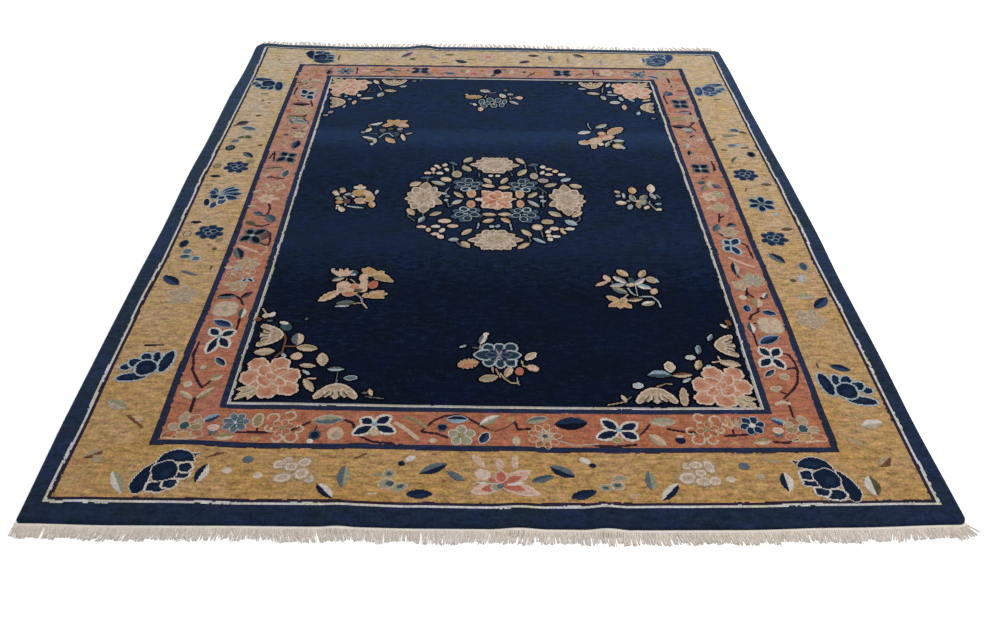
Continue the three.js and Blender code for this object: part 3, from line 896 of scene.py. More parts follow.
def side_sprays():
    draw(
        stems=[
            ("mist", 6, (-656, 45), (-640, 20), (-640, -30)), ("mist", 6, (-672, -32), (-676, -62)),
            ("lilac", 6, (705, 22), (702, 4), (722, -42)), ("lilac", 6, (718, 100), (722, 84)),
        ],
        leaves=[
            (-596, -44, 84, 14, -12, "sky", "mist"), (-652, -62, 48, 28, -62, "cream", "white"),
            (-524, -22, 54, 30, -78, "cream", "ochre"), (-512, 84, 42, 16, 80, "mist"),
            (-636, 60, 36, 24, 20, "mist", "slate"), (640, 116, 58, 38, 85, "ochre", "cream"),
            (728, 134, 76, 38, 85, "cream", "white"), (726, 66, 56, 22, -72, "mist", "lilac"),
            (632, 50, 60, 28, 100, "sage", "slate", "mist"), (682, 52, 62, 34, 58, "sage", "slate"),
            (650, -12, 50, 24, 95, "olive", "sage"), (612, -24, 48, 24, 70, "lilac", "sky"),
            (686, -29, 36, 22, 42, "white", "cream"), (576, 8, 50, 34, 0, "white", "pink"),
            (742, 2, 34, 16, 5, "sky"), (750, 66, 44, 16, -65, "slate"),
        ],
        ovals=[
            (-584, 76, 74, 62, 0, "ochre", "sand"), (-546, 62, 76, 36, -62, "cream", "pink"),
            (-538, 26, 56, 44, 60, "ochre", "cream"), (-580, 12, 50, 40, 0, "sand", "pink"),
            (-572, 46, 22, 18, 0, "moss"), (-614, 46, 26, 12, -50, "white"), (-574, -10, 46, 14, 0, "pink"),
            (-606, 122, 26, 24, 0, "white"), (-590, 136, 24, 24, 0, "pink"),
            (-574, 120, 22, 22, 0, "white"), (-590, 112, 20, 26, 0, "cream"),
            (-696, 76, 34, 26, 100, "pink", "pearl"), (-688, 62, 26, 22, -50, "white"),
            (-664, 86, 30, 20, 40, "pink"), (-668, 106, 28, 22, 0, "sage"),
            (-672, 24, 38, 26, -40, "sage", "olive"), (-668, -4, 34, 30, 0, "ochre", "olive"),
            (-636, 2, 40, 32, 90, "plum"), (-671, -34, 16, 14, 0, "white"),
            (570, 102, 30, 22, -40, "pearl"), (570, 66, 26, 20, 20, "lilac"), (595, 70, 14, 44, 0, "mist"),
            (674, 18, 56, 40, 80, "sage", "slate"), (652, 22, 22, 20, 0, "cream"),
            (651, 4, 18, 18, 0, "olive"), (612, 24, 16, 16, 0, "lilac"),
            (736, -44, 32, 22, 20, "white", "sage"),
        ],
    )


def top_sprays():
    draw(
        stems=[
            ("sky", 8, (-546, 598), (-522, 640), (-500, 646), (-480, 612)),
            ("slate", 8, (-482, 640), (-440, 666)), ("slate", 8, (-598, 644), (-556, 636)),
            ("slate", 7, (-548, 668), (-528, 650)), ("sage", 6, (-612, 730), (-598, 706)),
            ("lilac", 6, (-14, 1090), (-22, 1060)), ("lilac", 6, (0, 1114), (36, 1122)),
            ("lilac", 6, (112, 1066), (114, 1040)), ("sage", 5, (120, 1050), (136, 1066)),
            ("sky", 6, (500, 772), (500, 745), (510, 706)), ("mist", 6, (604, 594), (588, 566)),
        ],
        leaves=[
            (-572, 744, 70, 24, 24, "white", "mist", None, -10), (-605, 676, 50, 26, 62, "pink", "white"),
            (-596, 594, 74, 22, -24, "mist", "white"), (-564, 566, 54, 20, -84, "mist", "cream"),
            (-490, 570, 74, 38, -46, "ochre", "pink", "cream"), (-428, 602, 72, 20, -76, "cream", "white"),
            (-402, 642, 40, 18, 22, "lilac"), (-22, 1140, 60, 38, -16, "sage", "mist", "pearl"),
            (-82, 1066, 92, 50, 6, "ochre", "olive", "sand", 0, 0.6, 5),
            (72, 1082, 58, 34, -64, "mist", "cream"), (130, 1001, 66, 24, -40, "mist", "lilac"),
            (-45, 922, 54, 28, 88, "cream", "pink"), (472, 672, 72, 34, 16, "mist", "white"),
            (566, 742, 76, 34, 34, "sage", "mist"), (588, 720, 34, 16, 36, "teal"),
            (630, 692, 110, 58, 42, "ochre", "sand", "cream", 0, 0.6, 6),
            (576, 552, 60, 22, 66, "mist", "sage"),
        ],
        ovals=[
            (-450, 690, 34, 26, 60, "lilac"), (-496, 690, 30, 26, 0, "moss"),
            (-536, 676, 36, 30, 0, "slate"), (-462, 626, 40, 22, 60, "teal"),
            (-590, 568, 26, 20, 0, "moss"), (-575, 532, 20, 26, 0, "mist"), (-630, 652, 22, 22, 0, "lilac"),
            (-77, 975, 18, 28, 20, "white"), (-96, 986, 24, 20, 0, "slate"),
            (114, 1102, 36, 26, 0, "lilac"), (161, 1060, 38, 36, 0, "pink", "white"),
            (88, 1152, 24, 24, 0, "slate"), (-120, 1092, 24, 16, -50, "pearl"),
            (636, 588, 54, 26, 0, "mist"), (634, 566, 44, 18, 0, "moss"),
            (625, 532, 54, 50, 0, "cream", "sand"), (650, 516, 20, 24, 0, "mist"),
            (560, 662, 44, 40, 0, "pink", "sand"), (580, 620, 86, 50, 24, "pink", "pearl"),
            (520, 584, 92, 62, 40, "cream", "sand"), (464, 566, 60, 48, 10, "cream", "mist"),
            (474, 572, 40, 24, 0, "ochre"), (508, 530, 54, 30, 84, "sand", "cream"),
            (545, 552, 30, 26, 60, "white"), (556, 634, 40, 26, 40, "salmon"),
        ],
        stars=[
            (-484, 744, 28, "ochre", "cream", "olive", (-518, 790), (-462, 794), (-542, 720), (-404, 716),
             (-416, 784)),
        ],
    )
    oval(-432, 734, 50, 36, -30, "pink", "sand")
    for x, y, length, width, turn in (
        (-40, 1012, 60, 32, 80), (4, 1032, 54, 36, 86), (46, 1026, 56, 36, 84), (82, 1012, 54, 26, 82),
        (-30, 968, 56, 34, -70), (24, 966, 52, 36, -90), (64, 972, 46, 30, -86), (-12, 990, 46, 34, 60),
    ):
        oval(x, y, length, width, turn, "teal", "mist")
    stem("sand", 6, (24, 1020), (26, 972))


def near_gold():
    draw(
        stems=[
            ("brown", 9, (-1190, -1318), (-1132, -1368)), ("brown", 7, (-1250, -1475), (-1225, -1510)),
            ("brown", 7, (-440, -1500), (-405, -1480)), ("brown", 7, (-876, -1500), (-866, -1478)),
            ("cream", 8, (-388, -1642), (-362, -1638)), ("cream", 8, (398, -1648), (424, -1642)),
            ("salmon", 7, (866, -1520), (874, -1498)), ("brown", 7, (1225, -1500), (1225, -1522)),
            ("brown", 7, (1140, -1420), (1156, -1438)),
        ],
        blades=[
            (-1165, -1553, -1112, -1640, 36, "sage", "white"),
            (-542, -1600, -488, -1655, 34, "white", "navy"), (-235, -1560, -152, -1520, 38, "slate", "navy"),
            (-152, -1550, -98, -1590, 26, "slate"), (-74, -1484, -36, -1538, 24, "pink", None, "blush"),
            (57, -1544, 58, -1486, 24, "pink", None, "blush"),
            (105, -1592, 175, -1570, 26, "teal", "slate"), (165, -1532, 240, -1572, 40, "slate", "navy"),
            (552, -1597, 492, -1663, 34, "navy", "white"),
        ],
        leaves=[
            (-1243, -1268, 82, 42, -25, "sage", "pearl"), (-895, -1560, 78, 38, 75, "navy", "white"),
            (-465, -1572, 84, 40, 90, "slate", "sage"), (-232, -1640, 82, 35, 0, "navy", "ink"),
            (260, -1642, 82, 35, 15, "navy", "ink"), (470, -1587, 80, 36, 90, "slate", "sage"),
            (885, -1590, 78, 40, 90, "navy", "white"), (1143, -1605, 78, 46, 90, "white", "moss"),
            (-1246, -1484, 60, 34, 30, "ash", "brown"), (-1228, -1504, 44, 30, -40, "ash", "sand"),
            (-866, -1490, 66, 24, 20, "brown", "ochre"), (1150, -1430, 60, 30, -30, "ash", "ochre"),
            (1214, -1510, 60, 34, 40, "ash", "brown"), (862, -1502, 60, 24, -12, "ochre", "ash"),
            (-362, -1566, 34, 12, 0, "sage"),
            (1232, -1345, 80, 40, 12, "white", "pearl"),
        ],
        ovals=[
            (-1150, -1335, 24, 18, 0, "pink"), (-767, -1505, 34, 30, 0, "slate"),
            (-822, -1550, 30, 26, 0, "lint"), (-725, -1570, 30, 24, 0, "lint"),
            (-293, -1520, 22, 20, 0, "navy"), (-266, -1500, 38, 22, 30, "white"),
            (298, -1527, 22, 20, 0, "navy"), (276, -1508, 38, 22, -30, "white"),
            (715, -1582, 28, 24, 0, "lint"), (768, -1528, 36, 30, 0, "slate"),
            (810, -1570, 24, 20, 0, "pearl"), (-328, -1562, 42, 36, 0, "sage", "cream"),
            (-328, -1562, 18, 14, 0, "iron"), (-335, -1602, 54, 46, 0, "sage", "cream"),
            (-322, -1600, 26, 20, 0, "iron"), (-292, -1615, 48, 38, 20, "sage", "cream"),
            (-290, -1612, 22, 14, 20, "iron"), (375, -1578, 52, 24, 0, "sage", "cream"),
            (365, -1608, 48, 40, 0, "sage", "cream"), (366, -1606, 22, 16, 0, "iron"),
            (328, -1618, 42, 32, 0, "sage", "cream"), (328, -1618, 18, 12, 0, "teal"),
        ],
    )
    pale_flower(-615, -1552, [
        (-52, 26, 46, 38, 20), (-28, 44, 34, 30, 0), (24, 36, 54, 44, 30), (-34, -26, 66, 44, 10),
        (46, -30, 46, 40, -30), (-14, 18, 54, 46, 0), (22, -10, 56, 54, 40),
    ])
    pale_flower(622, -1560, [
        (-34, 30, 34, 30, 0), (-4, 36, 52, 40, 0), (36, 30, 42, 62, 20), (-38, -16, 66, 56, 20),
        (10, -30, 66, 44, 0), (44, -28, 44, 38, 30), (6, 4, 40, 34, 0),
    ])
    navy_peony(-1010, -1552, 1, 1, 4)
    navy_peony(1012, -1578, -1, 1, -12)
    near_lotus()


def near_lotus():
    for tip_x, tip_y, width in ((-80, -1634, 44), (132, -1642, 46), (106, -1548, 50)):
        blade(12, -1608, tip_x, tip_y, width, "pink", None, "blush")
    oval(-42, -1564, 52, 42, -24, "lint", "blush")
    oval(10, -1524, 42, 28, 90, "pink", "blush")
    for tip_x, tip_y, width in ((-46, -1624, 26), (86, -1626, 28), (74, -1572, 30), (-26, -1578, 18)):
        blade(12, -1606, tip_x, tip_y, width, "coral")
    blade(12, -1600, 14, -1546, 44, "coral", None, "pink")
    blade(-4, -1600, -72, -1592, 13, "white", "sage")
    blade(28, -1606, 84, -1598, 12, "white")
    oval(-2, -1614, 36, 32, 0, "sage", "lint")
    oval(12, -1610, 22, 20, 0, "slate")


def navy_peony(x, y, side, end, tilt, dye="navy", edge="white", heart="ink"):
    """The dark peony of an end border: a dome over a cluster of petals, and a leaf that droops outward."""
    drop(x - side * 66, y - end * 92, x - side * 34, y + end * 38, 58, dye, edge, side * end * 10)
    drop(x + side * 58, y + end * 56, x + side * 92, y + end * 74, 26, dye, edge)
    dome(x + side * 24, y + end * 32, 120, end * 58, tilt, dye, edge)
    oval(x + side * 34, y + end * 60, 54, 22, tilt, heart)
    for right, up, length, width in (
        (-8, -62, 78, 52), (28, -46, 56, 56), (48, -14, 74, 46), (58, 14, 56, 50),
    ):
        px = x + side * right
        py = y + end * up
        scalloped(px, py, length, width, 5, 0.1, dye, edge, 0, 2.4, 2)
        oval(px + 6, py - 2, 0.36 * length, 0.3 * width, 20, heart)
    scalloped(x, y, 84, 84, 5, 0.06, dye, edge, 20, 2.8)
    oval(x + 8, y - 8, 36, 30, 40, heart)


def side_navy_peony(x, y, side, end, dye="navy", edge="mist", heart="ink"):
    """The dark peony of a side border: petals about a middle one, and a leaf towards the field."""
    for right, up, length, width, turn, lobes in (
        (-62, 30, 122, 60, 98, 2), (36, -50, 112, 56, 170, 2), (70, 0, 50, 46, 0, 3),
        (-20, 48, 72, 48, 92, 3), (14, 48, 62, 54, 78, 3), (44, 22, 62, 54, 30, 3),
    ):
        px = x + side * right
        py = y + end * up
        lean = turn if side * end > 0 else 180 - turn
        scalloped(px, py, length, width, lobes, 0.1, dye, edge, lean, 1.9, 2)
        oval(px - 4, py + 4, 0.4 * length, 0.3 * width, lean, heart)
    scalloped(x, y - end * 2, 90, 84, 3, 0.1, dye, edge, 90 - side * 30, 2.2, 2)
    oval(x, y - 6, 34, 26, 0, heart)


def round_flower(x, y, side, end):
    """The round blue flower of the gold border's long sides."""
    for right, up, length, width, turn in (
        (-28, 24, 46, 36, -30), (4, 34, 40, 38, 90), (32, 20, 44, 36, 30), (38, -14, 46, 32, -20),
        (-36, -8, 44, 34, 10), (-14, -30, 44, 36, 60), (20, -34, 40, 34, -60),
    ):
        oval(x + side * right, y + end * up, length, width, side * end * turn, "ink", "denim")
    for right, up, length, width, turn in ((-12, 10, 40, 30, -20), (18, 4, 38, 30, 20), (0, -14, 34, 28, 0)):
        blade(
            x + side * (right + 0.4 * length), y + end * up, x + side * (right - 0.5 * length),
            y + end * (up + 4), width, "navy", None, "sky",
        )


def pale_flower(x, y, petals):
    """A loose cream flower of the near gold border, its petals rimmed by a thin shade."""
    for right, up, length, width, turn in petals:
        oval(x + right, y + up, length, width, turn, "lint", "ash")
        oval(x + right, y + up, 0.5 * length, 0.4 * width, turn, "pearl")


def side_gold():
    draw(
        stems=[
            ("stem", 8, (-1236, -970), (-1172, -970)), ("brown", 7, (-1115, -512), (-1112, -488)),
            ("cream", 7, (-1172, -118), (-1146, -112)), ("moss", 9, (-1212, 1077), (-1182, 1077)),
            ("brown", 7, (-1205, 1520), (-1190, 1536)), ("brown", 7, (1135, -1072), (1135, -1048)),
            ("pink", 7, (1140, -942), (1156, -942)), ("pink", 7, (1262, -607), (1280, -607)),
            ("cream", 7, (1126, -474), (1146, -466)), ("brown", 7, (1156, 118), (1168, 142)),
            ("slate", 10, (1210, 1068), (1246, 1068)), ("slate", 8, (1262, 690), (1288, 682)),
            ("moss", 14, (-1278, 712), (-1258, 722)), ("midnight", 12, (1258, 702), (1290, 684)),
        ],
        blades=[
            (-1285, -555, -1210, -615, 44, "navy", "blue"),
            (-1240, 112, -1215, 54, 30, "teal", None, "mist"),
            (-1178, 440, -1125, 385, 34, "navy", "slate"), (1222, -738, 1290, -668, 42, "navy", "blue"),
            (1155, 378, 1192, 437, 30, "moss", "pearl"), (-1200, 46, -1152, 124, 44, "blue", "navy", "sky"),
            (-1200, 44, -1122, 106, 44, "navy", "blue", "sky"),
            (-1200, 42, -1104, 66, 44, "blue", "navy", "sky"),
            (-1200, 38, -1112, 16, 44, "navy", "blue", "sky"),
        ],
        leaves=[
            (-1192, -537, 80, 18, -25, "slate"), (-1125, -303, 44, 24, 60, "olive"),
            (-1252, -173, 50, 22, 0, "navy"), (-1260, 211, 50, 24, 0, "navy"),
            (-1200, 682, 88, 44, -20, "teal", "slate", "mist"), (-1243, 738, 66, 46, 30, "ink", "plum"),
            (1213, -1073, 70, 34, -20, "navy", "blue"), (1205, -665, 80, 34, 5, "sage", "pearl"),
            (1230, -548, 52, 38, 80, "mist", "pearl"), (1163, -408, 84, 44, -55, "navy", "slate"),
            (1262, -193, 52, 26, 10, "moss", "brown"), (1267, 181, 50, 26, 0, "slate", "moss"),
            (1200, 655, 84, 24, 8, "olive", "slate"), (1238, 712, 60, 46, -20, "teal", "slate", "mist"),
            (-1130, 350, 44, 34, 60, "olive"),
        ],
        ovals=[
            (-1267, -263, 42, 34, 80, "pearl", "brown"), (-1263, -335, 56, 38, 80, "navy", "slate"),
            (-1157, -340, 22, 18, 0, "olive"), (-1130, -370, 20, 20, 0, "moss"),
            (-1235, -390, 42, 38, 0, "slate", "mist"), (-1235, -426, 48, 32, 0, "teal", "mist"),
            (-1188, -440, 44, 42, 0, "slate", "mist"), (-1273, 305, 46, 36, 85, "olive", "brown"),
            (-1250, 480, 54, 46, 85, "teal", "midnight"), (-1240, 548, 52, 44, 20, "slate", "pearl"),
            (-1218, 588, 40, 26, 20, "moss", "sage"), (-1186, 590, 50, 40, -50, "moss", "sage"),
            (-1112, 508, 24, 20, 0, "brown"), (-1148, 490, 34, 18, 0, "ochre"),
            (-1112, 612, 30, 16, -60, "ochre"), (1112, 612, 30, 18, 60, "brown"),
            (1142, 504, 34, 14, -10, "brown"), (1190, 552, 44, 34, 10, "slate", "mist"),
            (1228, 556, 30, 22, -10, "mist"), (1250, 528, 44, 16, 10, "moss"),
            (-1180, 822, 26, 22, 0, "brown"), (-1190, 999, 18, 18, 0, "brown"),
            (-1152, 970, 18, 16, 0, "brown"), (-1130, 1385, 34, 20, 0, "ochre"),
            (1188, -560, 26, 22, 0, "moss"), (1255, -465, 58, 36, 85, "teal", "lilac"),
            (1285, 265, 24, 22, 0, "ochre"), (1137, 333, 26, 24, 0, "olive"),
            (1265, 462, 60, 44, 85, "midnight", "slate"), (1130, 1060, 22, 18, 0, "brown"),
            (-1265, 1275, 34, 14, -30, "mist"), (1280, 1245, 36, 16, 30, "sky"),
            (1195, 1120, 54, 36, 0, "navy", "sky"), (1245, -75, 26, 18, 40, "mist"),
            (-1246, -14, 66, 34, 104, "navy", "white"), (-1212, -34, 62, 36, 80, "blue", "white"),
            (-1222, 34, 60, 44, 150, "navy", "sky"), (-1236, 66, 44, 34, 120, "blue", "sky"),
            (-1182, -6, 62, 48, 80, "denim", "white"), (-1190, 24, 44, 40, 60, "ink", "mist"),
        ],
        blossoms=[
            (-1180, -680, 60, 5, 20, "sand", "pearl", "olive"),
            (1187, -800, 60, 5, -10, "sand", "pearl", "olive"),
            (-1180, -680, 32, 5, 56, "pearl", "ash", "sand"),
            (1187, -800, 32, 5, 26, "pearl", "ash", "sand"), (1203, 8, 66, 6, 20, "navy", "sky", "slate"),
        ],
    )
    for x, y, side, end in ((-1178, -248, 1, 1), (-1182, 296, 1, 1), (1190, -266, -1, 1), (1192, 266, -1, 1)):
        round_flower(x, y, side, end)
    side_navy_peony(-1200, -1085, -1, 1)
    side_navy_peony(1200, -1187, 1, 1)
    side_navy_peony(-1200, 1205, -1, -1, "navy", "sky", "blue")
    side_navy_peony(1206, 1195, 1, -1, "blue", "sky", "slate")


def far_gold():
    draw(
        stems=[
            ("brown", 9, (-262, 1510), (-238, 1510)), ("olive", 9, (112, 1570), (138, 1570)),
            ("moss", 12, (-860, 1596), (-860, 1534)),
        ],
        blades=[
            (-508, 1577, -438, 1650, 40, "plum", None, "lilac"), (-192, 1550, -122, 1515, 40, "teal", "navy"),
            (172, 1515, 240, 1552, 38, "plum", "navy", "lilac"), (492, 1652, 558, 1607, 36, "navy", "slate"),
        ],
        leaves=[
            (-225, 1625, 54, 30, 0, "moss", "olive"), (-100, 1560, 62, 18, 0, "olive"),
            (262, 1625, 66, 32, 0, "plum", "navy"), (360, 1590, 78, 28, 90, "slate", "sage"),
            (463, 1565, 72, 24, 90, "olive", "pearl"), (893, 1577, 82, 28, 90, "white", "teal"),
            (-437, 1555, 36, 24, 0, "moss"),
        ],
        ovals=[(-315, 1585, 44, 32, 0, "lilac", "pearl")],
        blossoms=[
            (-582, 1546, 46, 5, 20, "pearl", "pink", "olive"),
            (645, 1545, 48, 5, 0, "pearl", "white", "olive"),
            (-1, 1596, 64, 6, 30, "pink", "pearl", "salmon"),
        ],
    )
    navy_peony(-968, 1572, 1, -1, 0, "navy", "sky", "blue")
    navy_peony(992, 1575, -1, -1, 0, "blue", "sky", "slate")


def fan_blossom(x, y, side):
    """The open flower in a near corner of the rust border: outlined petals, a teal heart and an olive one."""
    for right, up, length, width, turn, fill in (
        (-38, -34, 54, 34, 30, "ground"), (-30, 0, 44, 34, -10, "sand"), (-6, 40, 52, 34, 80, "sand"),
        (26, 36, 46, 34, 40, "ground"), (46, 22, 36, 30, 0, "sand"), (50, -30, 44, 32, -20, "ground"),
        (8, -36, 52, 36, 0, "ochre"), (40, -2, 42, 32, 0, "olive"),
    ):
        oval(x + side * right, y + up, length, width, side * turn, fill, "cream")
    oval(x + side * 2, y + 4, 36, 40, 0, "teal", "cream")
    stem("cream", 7, (x - side * 46, y - 50), (x, y - 54), (x + side * 50, y - 50))


def cloud_knot(x, y, side):
    """A knot of outlined curls round an open flower."""
    blossom(x, y, 40, 6, 15, "ground", "cream", "olive", 1.05)
    for right, up, radius, turn in (
        (-34, 44, 22, 250), (18, 52, 22, 200), (-42, -2, 16, 60), (-8, -46, 20, 130), (36, -44, 24, 110),
        (54, -6, 18, 180),
    ):
        curl(x + side * right, y + up, radius, turn if side > 0 else 180 - turn, "cream")


def near_rust():
    draw(
        stems=[
            ("stem", 9, (-996, -1236), (-996, -1320)), ("stem", 9, (-908, -1402), (-905, -1384)),
            ("stem", 9, (-830, -1390), (-730, -1390)), ("stem", 7, (-763, -1390), (-763, -1364)),
            ("stem", 9, (-664, -1386), (-600, -1345)),
            ("stem", 9, (-492, -1332), (-462, -1348), (-450, -1378)),
            ("stem", 7, (-576, -1366), (-577, -1388)),
            ("stem", 9, (-430, -1408), (-390, -1430), (-325, -1437)),
            ("stem", 9, (-240, -1385), (-220, -1360), (-200, -1335), (-165, -1315), (-125, -1310),
             (-90, -1325), (-60, -1347), (-30, -1372)),
            ("brown", 6, (-30, -1372), (0, -1382), (34, -1366), (60, -1345)),
            ("stem", 9, (-240, -1385), (-190, -1394), (-155, -1410)),
            ("stem", 9, (62, -1340), (72, -1375), (110, -1371)),
            ("pearl", 6, (205, -1425), (250, -1445), (325, -1437)),
            ("stem", 9, (315, -1445), (380, -1448), (445, -1440)),
            ("stem", 7, (457, -1402), (480, -1380), (500, -1352)),
            ("stem", 9, (557, -1370), (610, -1384), (665, -1387)),
            ("stem", 9, (740, -1400), (790, -1396), (835, -1390)), ("stem", 7, (766, -1396), (766, -1372)),
            ("stem", 9, (890, -1425), (930, -1430), (975, -1405)), ("stem", 9, (981, -1240), (981, -1318)),
            ("cream", 16, (-322, -1348), (-292, -1372), (-250, -1415)),
            ("olive", 14, (-290, -1320), (-258, -1336), (-225, -1365)),
            ("pink", 12, (742, -1350), (762, -1362), (780, -1352)),
        ],
        blades=[
            (-595, -1340, -490, -1328, 46, "sage", "slate", "pearl"),
            (-52, -1355, 14, -1312, 32, "white", "sage"), (490, -1395, 540, -1445, 36, "cream", "sand"),
        ],
        leaves=[
            (-922, -1328, 64, 28, 30, "sky", "blue"), (-862, -1410, 68, 32, 5, "olive", "cream"),
            (-125, -1330, 74, 36, 0, "navy", "sky", "mist"),
            (-37, -1412, 62, 36, 65, "navy", "blue", "white"),
            (135, -1332, 78, 34, 15, "slate", "sage", "pearl"), (245, -1348, 110, 56, 5, "ink", "midnight"),
            (545, -1340, 88, 42, 2, "sage", "pearl"), (850, -1425, 62, 30, 8, "olive", "cream"),
            (930, -1337, 64, 28, -25, "sky", "blue"),
        ],
        ovals=[
            (-903, -1388, 26, 26, 0, "slate"), (-903, -1370, 38, 28, 0, "pink", "white"),
            (-768, -1338, 66, 40, 90, "olive", "cream"), (-762, -1420, 34, 22, 20, "ochre"),
            (-577, -1402, 42, 40, 80, "navy", "teal"), (-588, -1428, 22, 18, 0, "white"),
            (-512, -1395, 58, 52, 90, "pink", "cream"), (-508, -1402, 30, 28, 0, "sand"),
            (-172, -1366, 34, 34, 0, "navy", "slate"), (-200, -1425, 26, 22, 0, "cream"),
            (50, -1330, 26, 24, 0, "ochre"), (65, -1425, 42, 30, 90, "cream", "sand"),
            (590, -1420, 32, 32, 0, "navy"), (590, -1403, 24, 14, 0, "cream"),
            (762, -1340, 62, 22, 95, "ochre", "pink"), (786, -1344, 46, 16, 85, "sand"),
            (762, -1433, 24, 22, 0, "ochre"), (912, -1394, 26, 26, 0, "slate"),
            (914, -1376, 36, 28, 0, "pink", "white"),
        ],
        stars=[
            (-392, -1357, 44, "navy", "white", None, (-440, -1326), (-338, -1314), (-460, -1402),
             (-318, -1392)),
            (398, -1382, 44, "navy", "white", None, (342, -1326), (464, -1344), (318, -1414), (460, -1417)),
        ],
        blossoms=[
            (-838, -1348, 46, 7, 10, "slate", "mist", "white", 1.15),
            (-838, -1348, 24, 7, 36, "sky", "teal", "white", 0.9),
            (-110, -1402, 46, 5, 18, "sage", "white", "olive", 1.05),
            (157, -1404, 56, 9, 0, "ground", "cream", "teal", 1.1),
            (157, -1404, 34, 9, 20, "sand", "cream", "teal"),
            (835, -1354, 44, 6, 10, "ink", "mist", "white", 1.1),
        ],
    )
    fan_blossom(-1000, -1366, 1)
    fan_blossom(1000, -1372, -1)
    cloud_knot(-686, -1370, 1)
    cloud_knot(684, -1374, -1)
    oval(-388, -1392, 36, 30, 0, "cream", "sand")
    oval(388, -1420, 36, 28, 0, "olive", "cream")
    oval(-392, -1352, 20, 18, 0, "sky")
    oval(396, -1376, 20, 18, 0, "sky")


